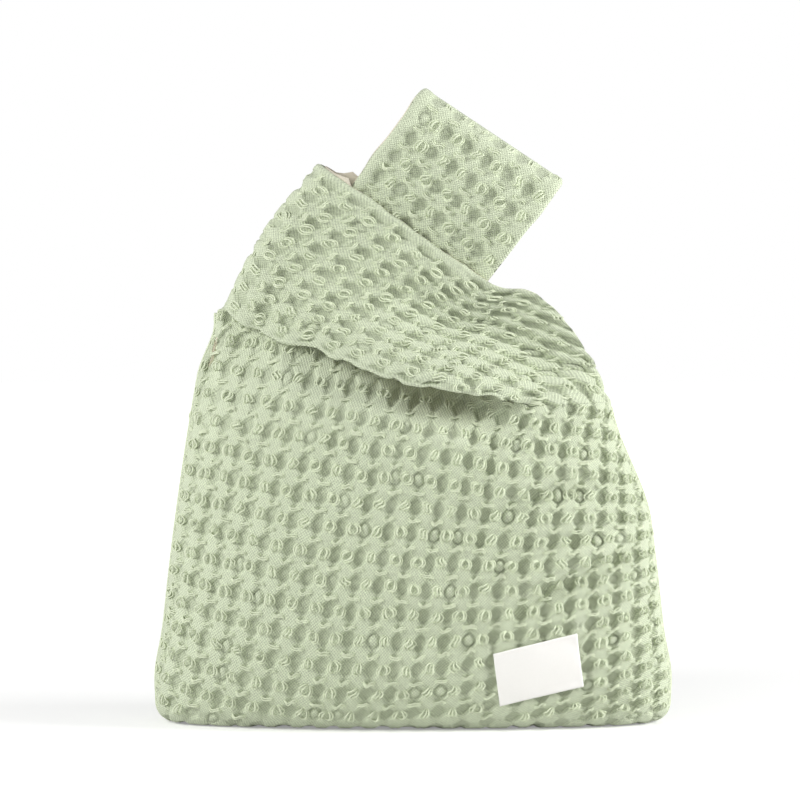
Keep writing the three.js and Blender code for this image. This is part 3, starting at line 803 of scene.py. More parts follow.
def knob_strand(chance, strand):
    """One yarn of each knob: strands bow apart round an eye, or lean over together."""
    ring = chance(20) < RING_SHARE
    outer = RING_STRANDS[strand]
    spread = np.where(ring, outer, LEANING_STRANDS[strand])
    ring_width = RING_WIDTH + RING_WIDTH_SPAN * chance(22)
    wide = np.where(ring, ring_width, LEANING_WIDTH + LEANING_WIDTH_SPAN * chance(22))
    bow = spread * wide + KNOB_BOW * (chance(23 + strand) - 0.5)
    sway = np.where(ring, RING_SWAY, LEANING_SWAY) * (chance(25) - 0.5)
    twist = np.where(ring, RING_TWIST, LEANING_TWIST) * (chance(32) - 0.5)
    reach = KNOB_REACH + KNOB_REACH_SPAN * chance(24) - INNER_SHORTER * (np.abs(outer) < INNER_STRAND)
    side = (spread * KNOB_FOOT)[:, None] + (bow + sway)[:, None] * STRAND_ARCH**KNOB_CURVE
    side = side + twist[:, None] * np.sin(math.pi * STRAND)
    level = reach[:, None] * STRAND
    turn = KNOB_TURN_SPAN * (chance(26) - 0.5) - KNOB_TURN
    cosine, sine = np.cos(turn)[:, None], np.sin(turn)[:, None]
    arch = KNOB_ARCH - KNOB_ARCH_LOSS * np.minimum(spread, 1.0) ** 2
    lift = KNOB_LIFT + arch * (0.5 + 0.6 * chance(30 + strand))
    there = spread < WIDEST_SPREAD
    return side * cosine - level * sine, level * cosine + side * sine, lift, there, KNOB_WIDTH


def float_strand(chance, strand):
    """One yarn of each float: a wavy bridge from one raised square to the next."""
    spread = np.where(chance(26) < TWO_STRANDS_SHARE, TWO_STRANDS[strand], -1.0 + strand)
    sag = np.where(chance(27) < SAGGING_SHARE, -1.0, 1.0) * (FLOAT_SAG + FLOAT_SAG_SPAN * chance(28))
    twist = FLOAT_TWIST_SPAN * (chance(31) - 0.5) + FLOAT_TWIST
    reach = FLOAT_REACH + FLOAT_REACH_SPAN * chance(29)
    wave = FLOAT_WAVE * (chance(35 + strand) - FLOAT_WAVE_MIDDLE)
    level = (spread * FLOAT_FOOT)[:, None] + sag[:, None] * STRAND_ARCH
    level = level + twist[:, None] * np.sin(math.pi * STRAND) + wave[:, None] * np.sin(2 * math.pi * STRAND)
    lift = FLOAT_LIFT + FLOAT_LIFT_SPAN * chance(33 + strand)
    return reach[:, None] * STRAND, level, lift, spread < WIDEST_SPREAD, FLOAT_WIDTH


# The shape of each kind of yarn, its strands, and where it stands in a cell, across and up
YARN_KINDS = {"knob": (knob_strand, 4, 0.0, 0.5), "float": (float_strand, 3, 0.5, 0.0)}


def loose_yarns(cloth, kind, hidden=None):
    """Paths of the knobs' bowed yarns, or of the floats between the pits."""
    weave = cloth.weave
    shape, strands, across, up = YARN_KINDS[kind]
    columns = np.arange(math.floor(cloth.column.min()), math.ceil(cloth.column.max()) + 1)
    rows = np.arange(math.floor(cloth.row.min()), math.ceil(cloth.row.max()) + 1)
    column, row = (part.ravel().astype(float) for part in np.meshgrid(columns, rows))
    column, row = column + across, row + up
    at_column, at_row, there, slopes = cloth.find(column, row)
    tall, wide = cloth.column.shape
    there &= (at_column > YARN_RIM) & (at_column < wide - 1 - YARN_RIM)
    there &= (at_row > YARN_RIM) & (at_row < tall - 1 - YARN_RIM)
    there &= cloth.sample(cloth.fade, at_column, at_row) > YARN_LEAST_FADE
    if hidden is not None:
        there &= ~hidden(cloth.sample(cloth.base, at_column, at_row))
    column, row, at_column, at_row = (part[there] for part in (column, row, at_column, at_row))
    slopes = slopes[there]
    steep = cloth.sample(cloth.normals, at_column, at_row)[:, 2]
    lying = 1.0 - YARN_LYING * smooth(steep, *YARN_LYING_SLOPE)
    rise = cloth.sample(cloth.rise, at_column, at_row) * lying
    narrow = weave.cell_width / cell_span(cloth, at_column, at_row, slopes, 0)
    short = weave.row_pitch / cell_span(cloth, at_column, at_row, slopes, 1)
    narrow, short = (np.clip(scale, *YARN_SCALES)[:, None] for scale in (narrow, short))

    def chance(salt):
        return dice(column, row, cloth.seed + salt)

    paths, radii, normals = [], [], []
    for strand in range(strands):
        side, level, lift, keep, width = shape(chance, strand)
        side, level = side * narrow, level * short
        c = at_column[:, None] + slopes[:, None, 0] * side + slopes[:, None, 1] * level
        r = at_row[:, None] + slopes[:, None, 2] * side + slopes[:, None, 3] * level
        normal = cloth.sample(cloth.normals, c, r)
        sink = -YARN_SINK + (lift * rise)[:, None] * STRAND_ARCH**YARN_LIFT_CURVE
        path = cloth.sample(cloth.places, c, r) + normal * sink[..., None]
        size = weave.yarn_width / 2 * (width * (YARN_LEAST + YARN_SPAN * chance(40 + strand)))[:, None]
        size = size * (YARN_END + YARN_MIDDLE * np.sqrt(STRAND_ARCH))
        paths.append(path[keep])
        radii.append(size[keep])
        normals.append(normal[keep])
    return np.vstack(paths), np.vstack(radii), np.vstack(normals)


STITCH_PITCH = 0.0046
STITCH_WIDTH = 0.0011
STITCH_SLANT = 0.0003
STITCH_REACH = 0.6
STITCH_END = 0.75
STITCH_MIDDLE = 0.25
SEAM_STEPS_LEFT = 60
SEAM_STEPS_RIGHT = 50
SEAM_STEPS_CORNER = 12


def side_stitches():
    """Paths of the stitches that close the bag down one side, under the base and up the other."""
    turn = np.linspace(0.0, math.pi / 2, SEAM_STEPS_CORNER)
    corner = CORNER_RADIUS * (1.0 - np.sin(turn))
    down = np.linspace(LEFT_SHOULDER_SHOWN, CORNER_RADIUS, SEAM_STEPS_LEFT)
    left = np.concatenate([down[:-1], corner])
    right = np.concatenate([corner[::-1], np.linspace(CORNER_RADIUS, NECK_HEIGHT, SEAM_STEPS_RIGHT)[1:]])
    x = np.concatenate([-half_width(left, False), half_width(right, True)])
    z = np.concatenate([left, right])
    length = np.concatenate([[0.0], np.cumsum(np.hypot(np.diff(x), np.diff(z)))])
    count = int(length[-1] / STITCH_PITCH - 0.2)
    run = (np.arange(count)[:, None] + STITCH_REACH + STITCH_REACH * STRAND) * STITCH_PITCH
    forward_x = np.gradient(np.interp(run, length, x), axis=1)
    forward_z = np.gradient(np.interp(run, length, z), axis=1)
    size = np.hypot(forward_x, forward_z)
    normals = np.stack([forward_z / size, 0 * size, -forward_x / size], axis=-1)
    height = np.maximum(np.interp(run, length, z) + FLOOR_GAP, STITCH_WIDTH / 2)
    slant = STITCH_SLANT * STRAND + 0 * run
    paths = np.stack([np.interp(run, length, x), slant, height], axis=-1)
    radii = STITCH_WIDTH / 2 * (STITCH_END + STITCH_MIDDLE * np.sqrt(STRAND_ARCH)) + 0 * run
    return paths, radii, normals


# The surfaces of the bag

# Drag folds as x, z, length, slope and height
DRAG_FOLDS = [
    (0.034, 0.056, 0.082, 0.56, 0.0028),
    (0.026, 0.104, 0.066, 0.45, 0.0023),
    (0.058, 0.040, 0.062, 0.52, 0.0014),
    (0.048, 0.084, 0.056, 0.50, 0.0013),
]
DRAG_RUN_IN = (0.0, 0.35)
DRAG_RUN_OUT = (0.75, 1.1)
DRAG_BEND = 0.003
DRAG_BEND_TURN = 5.0
DRAG_WIDTH = 0.0065
DRAG_AWAY = (0.002, 0.015)
CREASE_PLACE = 0.0095
CREASE_WIDTH = 0.0045
CREASE_SHARE = 0.9

# Soft swells of filled cloth, with smaller ones between
SWELL_WIDTH = 0.034
SWELL_HEIGHT = 0.03
SWELL_AWAY = (0.004, 0.03)
SMALL_SWELL = 0.5
SMALL_SWELL_ACROSS = 2.1
SMALL_SWELL_UP = 1.9
SMALL_SWELL_SHIFT = 5.0

# Seeds of the swells and of the weave, for the front and the back
BODY_SWELL_SEEDS = (1, 11)
BODY_WEAVE_SEEDS = (100, 200)
BAND_SWELL_SEEDS = (21, 31)
BAND_WEAVE_SEEDS = (100, 400)
STRAP_SWELL_SEEDS = (41, 51)
STRAP_WEAVE_SEEDS = (500, 600)

# The body's cloth
TOP_ROUNDS = 20
TOP_PACE = 0.7
NO_HEM = 1.0
FRONT_ARC = 0.262
BOTTOM_SEAM = 0.004
BODY_SWELL = 0.0011
RIGHT_DEEPER = 0.4
RIGHT_RUN = (0.5, 0.8)
BASE_DEEP = 0.45
BASE_DEEPER = 0.55
BASE_RUN = (0.0, 0.020)
LEFT_FLATTER = 0.2
LEFT_RUN = (0.55, 0.75)
UPPER_RUN = (0.11, 0.14)


def undulate(places, edge, seed, amount):
    """Soft swells, as filled cloth has, that leave the edges in place."""
    normals = Cloth.square_to(places)
    x, z = places[..., 0] / SWELL_WIDTH, places[..., 2] / SWELL_HEIGHT
    swell = drift(x, z, seed)
    small = drift(x * SMALL_SWELL_ACROSS + SMALL_SWELL_SHIFT, z * SMALL_SWELL_UP, seed + 1)
    swell = (swell + SMALL_SWELL * small) * smooth(edge, *SWELL_AWAY) * amount
    return places + normals * swell[..., None]


def drag_folds(places, edge):
    """Slanting folds at the right of the front, where the cloth is dragged towards the shoulder."""
    normals = Cloth.square_to(places)
    x, z = places[..., 0], places[..., 2]
    lift = 0 * x
    for start_x, start_z, length, slope, height in DRAG_FOLDS:
        forward = ((x - start_x) * math.cos(slope) + (z - start_z) * math.sin(slope)) / length
        aside = (z - start_z) * math.cos(slope) - (x - start_x) * math.sin(slope)
        aside = aside - DRAG_BEND * np.sin(forward * DRAG_BEND_TURN)
        ends = smooth(forward, *DRAG_RUN_IN) * (1.0 - smooth(forward, *DRAG_RUN_OUT))
        ridge = np.exp(-((aside / DRAG_WIDTH) ** 2))
        crease = np.exp(-(((aside + CREASE_PLACE) / CREASE_WIDTH) ** 2))
        lift = lift + height * ends * (ridge - CREASE_SHARE * crease)
    lift = lift * smooth(edge, *DRAG_AWAY)
    return places + normals * lift[..., None]


def body_cloth(weave, back=False):
    """The body's front or back panel, from the middle of the base over the rim and up to the neck."""
    share = np.linspace(0.0, 1.0, BODY_COLUMNS + 1)
    top = np.full(share.shape, NECK_HEIGHT)
    for _ in range(TOP_ROUNDS):
        top = mix(top, top_height(SECTIONS.across(share, top)), TOP_PACE)
    base_x = SECTIONS.across(share, np.zeros(share.shape))
    base_depth = full_depth(base_x, np.zeros(share.shape))
    floor = np.linspace(0.0, 1.0, FLOOR_ROWS + 1)[:-1, None]
    floor_climb = -base_depth * (1.0 - floor)
    floor_places = np.stack([
        np.broadcast_to(base_x, floor_climb.shape),
        -HALF_SEAM - base_depth * floor,
        np.full(floor_climb.shape, FLOOR_GAP),
    ], axis=-1)
    wall_climb = climb_of(top) * np.linspace(0.0, 1.0, WALL_ROWS + 1)[:, None]
    height = height_of(wall_climb)
    x = SECTIONS.across(share, height)
    depth = body_depth(x, height)
    depth[:, [0, -1]] = 0.0
    wall_places = np.stack([x, -HALF_SEAM - depth, height + FLOOR_GAP], axis=-1)
    places = np.vstack([floor_places, wall_places])
    climb = np.vstack([floor_climb, wall_climb])
    share = share[None] + 0 * climb
    side_seam = np.minimum(share, 1.0 - share) * FRONT_ARC
    seam = np.minimum(side_seam, climb + base_depth + BOTTOM_SEAM)
    top_x = places[-1, :, 0]
    hemmed = (top_x > ROOT_RIGHT[0]) & (top_x < HEM_SHOWN)
    edge = np.where(hemmed, climb_of(top) - climb, NO_HEM)
    rise = np.minimum(seam, np.maximum(climb, 0.0))
    away = np.minimum(rise, climb_of(top) - climb)
    places = undulate(places, away, BODY_SWELL_SEEDS[back], BODY_SWELL)
    if not back:
        places = drag_folds(places, away)
    column, row = body_weave(share, climb, weave)
    deep = 1.0 + RIGHT_DEEPER * smooth(share, *RIGHT_RUN)
    deep = deep * (BASE_DEEP + BASE_DEEPER * smooth(climb, *BASE_RUN))
    deep = deep * (1.0 - LEFT_FLATTER * smooth(climb, *UPPER_RUN) * (1.0 - smooth(share, *LEFT_RUN)))
    seed = BODY_WEAVE_SEEDS[back]
    return finish_surface(places, column, row, edge, seam, seed, weave, back, deep=deep)


def finish_surface(places, column, row, edge, seam, seed, weave, back, gather=0.0, deep=1.0):
    """The cloth on the front, or on the back as the front seen in a mirror."""
    gather, deep = gather + 0 * column, deep + 0 * column
    if back:
        places = places[:, ::-1] * np.array([1.0, -1.0, 1.0])
        column, row, edge, seam, gather, deep = (
            part[:, ::-1] for part in (-column, row, edge, seam, gather, deep)
        )
    return Cloth(places, column, row, edge, seam, seed, weave, gather, deep)


# The short handle's cloth, by the share of its length from the shoulder and of its width
BAND_STEPS = 120
BAND_ROOT = (0.0, 0.12)
HEM_CELLS = 16.0
HEM_WAVE_WAY = np.array([0.35, 1.0])
UPPER_HEM = (0.6, 1.0)
BACK_RISE_START = (0.55, 0.80)
BACK_RISE_END = (0.93, 1.0)
BACK_DROP_END = (0.42, 0.55)
LOW_HEM_SPREAD = 1.7
LOW_HEM_START = (0.05, 0.14)
TOP_HEM_START = (0.40, 0.55)
HEM_AWAY = 0.01
FOLD_SEAM = 0.002
FOLD_CELLS = 8.7
FOLD_CELLS_SHIFT = 1.5
CROWDED_CELLS = 10.0
CROWDED_EVEN = 0.75
CROWDED_CUBED = 0.25
DRAWN_START = (0.02, 0.20)
DRAWN_END = (0.45, 0.72)
COLUMNS_TURN = (0.0, 0.40)
GATHERED_UP = (0.25, 0.6)
ROWS_EVEN = 0.35
ROWS_STRETCH = 1.055
BAND_END_START = (0.0, 0.02)
BAND_END_SEAM = (0.004, 0.03)
BAND_END_AWAY = 0.03
BAND_SWELLS = 0.0010
LOWER_HALF = (0.3, 0.55)
NEAR_ROOT = (0.10, 0.35)
BAND_DEEP = 0.88
BAND_DEEPER = 0.5
GATHER_DEEPER = 0.1

# Waves of the short handle's hems: reach in metres and swells to a cell, with their seed
LOW_WAVES = [(0.0015, 0.9, 63), (0.0009, 2.1, 64)]
HIGH_WAVES = [(0.0006, 1.1, 65), (0.0004, 2.3, 66)]
WAVE_START = (0.8, 3.0)
WAVE_END = (14.5, 15.9)
LOW_WAVE_FALL = (0.0, 0.35)
HIGH_WAVE_RISE = (0.65, 1.0)


def hem_wave(run, up):
    """How far the short handle's hems rise and fall, in step with its cells."""
    away = smooth(run, *WAVE_START) * (1.0 - smooth(run, *WAVE_END))
    low, high = (
        sum(reach * drift(run * swells, 0 * run, seed) for reach, swells, seed in waves)
        for waves in (LOW_WAVES, HIGH_WAVES)
    )
    return away * (low * (1.0 - smooth(up, *LOW_WAVE_FALL)) + high * smooth(up, *HIGH_WAVE_RISE))


NECK_SHARES = np.linspace(0.0, 1.0, 801)
NECK_PLACES = SECTIONS.across(NECK_SHARES, np.full(NECK_SHARES.shape, NECK_HEIGHT))


def share_at(x):
    """Share of the way round the body's front of places on the neck line."""
    return np.interp(x, NECK_PLACES, NECK_SHARES)


def band_cloth(weave, back=False):
    """The short handle's front or back, from the shoulder to the fold and round it."""
    up = np.linspace(0.0, 1.0, BAND_STEPS + 1)
    even = np.linspace(0.0, 1.0, BAND_ROWS + 1)
    along = np.concatenate([np.linspace(0.0, 1.0, BAND_COLUMNS + 1), np.ones(FOLD_COLUMNS)])
    round_fold = np.linspace(0, math.pi / 2, FOLD_COLUMNS + 1)[1:]
    turn = np.concatenate([np.zeros(BAND_COLUMNS + 1), round_fold])
    place, depth = band_point(along[:, None] + 0 * up, up[None] + 0 * along[:, None])
    step = np.linalg.norm(np.diff(np.concatenate([place, depth[..., None]], axis=-1), axis=1), axis=-1)
    length = np.concatenate([np.zeros((len(along), 1)), np.cumsum(step, axis=1)], axis=1)
    shares = np.array([np.interp(even, row / row[-1], up) for row in length])
    shares = mix(even[None], shares, smooth(along, *BAND_ROOT)[:, None])
    place, depth = band_point(along[:, None] + 0 * even, shares)
    place = place + hem_wave(along[:, None] * HEM_CELLS, even[None])[..., None] * HEM_WAVE_WAY
    if back:
        raised = smooth(along, *BACK_RISE_START) * (1.0 - smooth(along, *BACK_RISE_END))
        place = place + ALONG * (BACK_HEM_RISE * raised[:, None] * smooth(even, *UPPER_HEM))[..., None]
        sunk = smooth(along, *BAND_ROOT) * (1.0 - smooth(along, *BACK_DROP_END))
        place = place - ALONG * (BACK_SHOULDER_DROP * sunk[:, None] * smooth(even, *UPPER_HEM))[..., None]
    place = place - ACROSS * (depth * np.sin(turn)[:, None])[..., None]
    y = -HALF_SEAM - depth * np.cos(turn)[:, None]
    places = np.stack([place[..., 0], y, place[..., 1] + FLOOR_GAP], axis=-1)

    across_length = length[:, -1][:, None]
    low_edge = LOW_HEM_SPREAD * even[None] * across_length
    low_edge = low_edge + HEM_AWAY * (1.0 - smooth(along, *LOW_HEM_START))[:, None]
    top_edge = (1.0 - even[None]) * across_length
    top_edge = top_edge + HEM_AWAY * (1.0 - smooth(along, *TOP_HEM_START))[:, None]
    edge = np.minimum(low_edge, top_edge)
    run = np.linalg.norm(np.diff(places, axis=0), axis=-1)
    run = np.concatenate([np.zeros((1, BAND_ROWS + 1)), np.cumsum(run, axis=0)])
    seam = run[-1:] - run + FOLD_SEAM

    root_share = share_at(mix(NECK_OFFSET, RIGHT_EDGE, even))
    root_climb = climb_of(np.full(even.shape, NECK_HEIGHT))
    root_column, root_row = body_weave(root_share, root_climb, weave)
    first_column = root_column[0] - FOLD_CELLS_SHIFT
    fold_column = first_column + FOLD_CELLS * even
    crowded = first_column + CROWDED_CELLS * (CROWDED_EVEN * even + CROWDED_CUBED * even**3)
    drawn = (smooth(along, *DRAWN_START) * (1.0 - smooth(along, *DRAWN_END)))[:, None]
    wide_column = mix(fold_column[None], crowded[None], drawn)
    column = mix(root_column[None], wide_column, smooth(along, *COLUMNS_TURN)[:, None])
    gather = drawn * smooth(even[None], *GATHERED_UP)
    middle = run[:, BAND_ROWS // 2][:, None]
    row = root_row[None] + mix(run, middle, ROWS_EVEN) / (ROWS_STRETCH * weave.row_pitch)
    ends = np.minimum(smooth(run, *BAND_END_START), smooth(seam, *BAND_END_SEAM)) * BAND_END_AWAY
    lower = drawn * (1.0 - smooth(even[None], *LOWER_HALF))
    places, column, row, edge, seam, ends, gather, lower = (
        np.swapaxes(part, 0, 1)[:, ::-1] for part in (places, column, row, edge, seam, ends, gather, lower)
    )
    places = undulate(places, np.minimum(ends, edge * 2), BAND_SWELL_SEEDS[back], BAND_SWELLS)
    near_root = (1.0 - smooth(along, *NEAR_ROOT))[None, ::-1]
    deep = BAND_DEEP + BAND_DEEPER * np.maximum(lower, near_root) + GATHER_DEEPER * gather
    seed = BAND_WEAVE_SEEDS[back]
    return finish_surface(places, column, row, edge, seam, seed, weave, back, gather, deep)


# The long handle's cloth
STRAP_FLAT_STEPS = 60
STRAP_LEG_STEPS = 80
STRAP_END_STEPS = 40
STRAP_WAVE = 0.0006
STRAP_WAVE_LENGTH = 0.0125
STRAP_WAVE_SHIFT = 7.0
STRAP_WAVE_SEED = 61
STRAP_COLUMN_SHIFT = 0.0014
STRAP_CELLS = 0.94
STRAP_SEAM = 0.0005
STRAP_SWELL = 0.0006
STRAP_SWELL_AWAY = 0.03
STRAP_DEEP = 0.75


def strap_run():
    """Places along the long handle and its loop, as distance along and depth of the skin."""
    flat = np.linspace(STRAP_ROOT, HINGE_RISE, STRAP_FLAT_STEPS)
    share = np.linspace(0.0, 1.0, STRAP_LEG_STEPS)[1:]
    turn_start = LOOP_LENGTH - LOOP_END_RADIUS
    leg = mix(HINGE_RISE, turn_start, share)
    swell = (LOOP_END_RADIUS - STRAP_SKIN) * share * share * (3 - 2 * share)
    leg_depth = STRAP_SKIN + swell + LOOP_BOW * np.sin(math.pi * share)
    turn = np.linspace(0.0, math.pi / 2, STRAP_END_STEPS)[1:]
    end = turn_start + LOOP_END_RADIUS * np.sin(turn)
    along = np.concatenate([flat, leg, end])
    depth = np.concatenate([np.full(len(flat), STRAP_SKIN), leg_depth, LOOP_END_RADIUS * np.cos(turn)])
    length = np.concatenate([[0.0], np.cumsum(np.hypot(np.diff(along), np.diff(depth)))])
    return length, along, depth


def strap_cloth(weave, start, end, back=False):
    """A stretch of the long handle, from one share of its run to another."""
    length, along, depth = strap_run()
    begin, finish = length[-1] * start, length[-1] * end
    rows = round((finish - begin) / weave.row_pitch * QUADS_PER_CELL / INNER_STEP) * INNER_STEP
    run = np.linspace(begin, finish, rows + 1)
    s, d = np.interp(run, length, along)[:, None], np.interp(run, length, depth)[:, None]
    across = np.linspace(-STRAP_HALF, STRAP_HALF, STRAP_COLUMNS + 1)[None]
    right = (across / STRAP_HALF + 1.0) / 2
    wide = STRAP_WIDENING * smooth(s, *STRAP_WIDENING_RUN) * right
    short = STRAP_END_DROP * smooth(s, 0.0, LOOP_LENGTH) * (1.0 - right)
    swells = s / STRAP_WAVE_LENGTH + STRAP_WAVE_SHIFT * (across > 0)
    wave = STRAP_WAVE * drift(swells, 0 * right, STRAP_WAVE_SEED)
    wave = wave * smooth(np.abs(across), 0.5 * STRAP_HALF, STRAP_HALF) * np.sign(across)
    flat = on_strap(s - short, across + wide + wave)
    y = -HALF_SEAM - d + 0 * across
    places = np.stack([flat[..., 0], y, flat[..., 1]], axis=-1)
    edge = STRAP_HALF - np.abs(across) + 0 * y
    seam = (length[-1] - run)[:, None] + STRAP_SEAM + 0 * y
    column = (across + STRAP_COLUMN_SHIFT) / (STRAP_CELLS * weave.cell_width) + 0 * y
    row = (run[:, None] + STRAP_ROOT) / weave.row_pitch + 0 * y
    away = np.minimum(np.minimum(edge * 2, seam), STRAP_SWELL_AWAY)
    places = undulate(places, away, STRAP_SWELL_SEEDS[back], STRAP_SWELL)
    seed = STRAP_WEAVE_SEEDS[back]
    return finish_surface(places, column, row, edge, seam, seed, weave, back, deep=STRAP_DEEP)


# Finishes


def linear(red, green, blue):
    """A colour as seen on a screen, from 0 to 255, as the amounts of light that Blender takes."""
    amounts = []
    for value in (red, green, blue):
        share = value / 255
        amounts.append(share / 12.92 if share <= 0.04045 else ((share + 0.055) / 1.055) ** 2.4)
    return tuple(amounts)


def add_node(tree, kind, inputs, **settings):
    """A shader node with its settings, and its inputs as values or as other nodes' sockets."""
    node = tree.nodes.new(f"ShaderNode{kind}")
    for title, value in settings.items():
        setattr(node, title, value)
    fill_inputs(tree, node, inputs)
    return node


def fill_inputs(tree, node, inputs):
    for title, value in inputs.items():
        if isinstance(value, bpy.types.NodeSocket):
            tree.links.new(value, node.inputs[title])
        else:
            node.inputs[title].default_value = value


def calculate(tree, operation, *values):
    """A maths node on numbers or on other nodes' sockets."""
    return add_node(tree, "Math", dict(enumerate(values)), operation=operation).outputs[0]


def plain_weave(tree, given):
    """Plain weave from a map that counts threads: crossings that rise and sink in turn."""
    noise = add_node(tree, "TexNoise", {"Vector": given["Threads"], "Scale": 0.45, "Detail": 3.0})
    off_centre = calculate(tree, "SUBTRACT", noise.outputs[0], 0.5)
    sway = calculate(tree, "MULTIPLY", off_centre, given["Wander"])
    split = add_node(tree, "SeparateXYZ", {0: given["Threads"]})
    sines = []
    for count in split.outputs[:2]:
        turn = calculate(tree, "MULTIPLY", calculate(tree, "ADD", count, sway), math.pi)
        sines.append(calculate(tree, "SINE", turn))
    return calculate(tree, "MULTIPLY_ADD", calculate(tree, "MULTIPLY", *sines), 0.5, 0.5)


def waffle_cell(tree, given):
    """Where the cells are sunk, with frayed edges, from a map that counts threads, which deepens the shade
    painted in the pits.
    """
    split = add_node(tree, "SeparateXYZ", {0: given["Threads"]})
    turn = calculate(tree, "DIVIDE", 2 * math.pi, given["Threads Per Cell"])
    wave = calculate(tree, "ADD", *(
        calculate(tree, "COSINE", calculate(tree, "MULTIPLY", count, turn)) for count in split.outputs[:2]
    ))
    noise = add_node(tree, "TexNoise", {"Vector": given["Threads"], "Scale": 0.9, "Detail": 1.0})
    off_centre = calculate(tree, "SUBTRACT", noise.outputs[0], 0.5)
    frayed = calculate(tree, "ADD", wave, calculate(tree, "MULTIPLY", off_centre, given["Fray"]))
    edge = {"Value": frayed, "From Min": -0.15, "From Max": -0.75}
    return add_node(tree, "MapRange", edge, interpolation_type="SMOOTHSTEP").outputs["Result"]


def cotton_tone(tree, given):
    """Dyed cotton: patches of slightly uneven dye, and painted shade that darkens the colour down in the
    pits.
    """
    places = add_node(tree, "TexCoord", {}).outputs["Object"]
    patches = add_node(tree, "TexNoise", {"Vector": places, "Scale": 22.0, "Detail": 4.0})
    centred = calculate(tree, "SUBTRACT", patches.outputs[0], 0.5)
    uneven = calculate(tree, "MULTIPLY", centred, given["Uneven"])
    thread = calculate(tree, "SUBTRACT", given["Thread"], 0.5)
    thread = calculate(tree, "MULTIPLY", thread, given["Thread Tone"])
    bright = calculate(tree, "ADD", calculate(tree, "ADD", uneven, thread), 1.0)
    short = calculate(tree, "SUBTRACT", given["Pit Shade Tone"], 1.0)
    sunk = calculate(tree, "MULTIPLY_ADD", given["Pit"], short, 1.0)
    shade = {0: given["Dye"], "Scale": calculate(tree, "MULTIPLY", bright, sunk)}
    return add_node(tree, "VectorMath", shade, operation="SCALE").outputs[0]


def fuzz(tree, given):
    """Loose fibres on cotton, as fine unevenness of its height."""
    places = add_node(tree, "TexCoord", {}).outputs["Object"]
    inputs = {"Vector": places, "Scale": given["Fineness"], "Detail": 2.0}
    return add_node(tree, "TexNoise", inputs).outputs[0]


# The shared effects: what makes each, its inputs with their defaults, and its output
EFFECTS = {
    "Plain Weave": (
        plain_weave,
        {"Threads": ("Vector", None), "Wander": ("Float", 0.35)},
        ("Height", "Float"),
    ),
    "Waffle Cell": (
        waffle_cell,
        {"Threads": ("Vector", None), "Threads Per Cell": ("Float", 16.0), "Fray": ("Float", 0.5)},
        ("Sunk", "Float"),
    ),
    "Cotton Tone": (
        cotton_tone,
        {
            "Dye": ("Color", (0.5, 0.5, 0.5, 1.0)),
            "Pit": ("Float", 0.0),
            "Pit Shade Tone": ("Float", 0.9),
            "Uneven": ("Float", 0.05),
            "Thread": ("Float", 0.5),
            "Thread Tone": ("Float", 0.05),
        },
        ("Colour", "Color"),
    ),
    "Fuzz": (fuzz, {"Fineness": ("Float", 1500.0)}, ("Height", "Float")),
}


def effect_group(name):
    """The node group of a shared effect, made when it is first asked for."""
    if name in bpy.data.node_groups:
        return bpy.data.node_groups[name]
    make, inputs, (title, kind) = EFFECTS[name]
    group = bpy.data.node_groups.new(name, "ShaderNodeTree")
    for label, (sort, default) in inputs.items():
        socket = group.interface.new_socket(label, in_out="INPUT", socket_type=f"NodeSocket{sort}")
        if default is not None:
            socket.default_value = default
    group.interface.new_socket(title, in_out="OUTPUT", socket_type=f"NodeSocket{kind}")
    given = group.nodes.new("NodeGroupInput")
    result = group.nodes.new("NodeGroupOutput")
    group.links.new(make(group, given.outputs), result.inputs[title])
    return group


def place_effect(tree, name, inputs):
    """Places a shared effect in a material, and gives what comes out of it."""
    return add_node(tree, "Group", inputs, node_tree=effect_group(name)).outputs[0]


FIBRE_SPECULAR = 0.18
FIBRE_SHEEN = 0.18
FIBRE_SHEEN_ROUGHNESS = 0.6
# Base of the shade painted in the pits, to which the weave's sunk cells add
PIT_SHADE_START = 0.35
FUZZ_TONE = 1.6
FUZZ_HEIGHT = 0.35
THREAD_BUMP = 0.7


def cotton(name, dye, thread_height, pit_shade_tone, thread_tone, roughness):
    """A material of woven cotton."""
    if name in bpy.data.materials:
        return bpy.data.materials[name]
    material = bpy.data.materials.new(name)
    material.use_nodes = True
    tree = material.node_tree
    threads = add_node(tree, "UVMap", {}, uv_map="Weave").outputs[0]
    pit = add_node(tree, "Attribute", {}, attribute_name="pit").outputs["Fac"]
    per_cell = bpy.context.scene.wrist_bag_weave.threads_per_cell
    weave = place_effect(tree, "Plain Weave", {"Threads": threads})
    sunk = place_effect(tree, "Waffle Cell", {"Threads": threads, "Threads Per Cell": per_cell})
    fibres = place_effect(tree, "Fuzz", {})
    grain = calculate(tree, "MULTIPLY_ADD", fibres, FUZZ_TONE, -FUZZ_TONE / 2)
    # Painted shade: the colour darkens in the pits and hollows by the pit tone
    colour = place_effect(tree, "Cotton Tone", {
        "Dye": (*dye, 1.0),
        "Pit": calculate(tree, "MULTIPLY", calculate(tree, "ADD", sunk, PIT_SHADE_START), pit),
        "Pit Shade Tone": pit_shade_tone,
        "Thread": calculate(tree, "ADD", weave, grain),
        "Thread Tone": thread_tone,
    })
    height = calculate(tree, "ADD", weave, calculate(tree, "MULTIPLY", fibres, FUZZ_HEIGHT))
    bump = {"Strength": THREAD_BUMP, "Distance": thread_height, "Height": height}
    fill_inputs(tree, tree.nodes["Principled BSDF"], {
        "Base Color": colour,
        "Roughness": roughness,
        "Specular IOR Level": FIBRE_SPECULAR,
        "Sheen Weight": FIBRE_SHEEN,
        "Sheen Roughness": FIBRE_SHEEN_ROUGHNESS,
        "Normal": add_node(tree, "Bump", bump).outputs[0],
    })
    return material


def waffle_cotton():
    colours = bpy.context.scene.wrist_bag_colours
    return cotton(
        "Waffle Cotton", colours.dye,
        thread_height=0.0004, pit_shade_tone=colours.pit_shade_tone, thread_tone=0.45, roughness=0.92,
    )


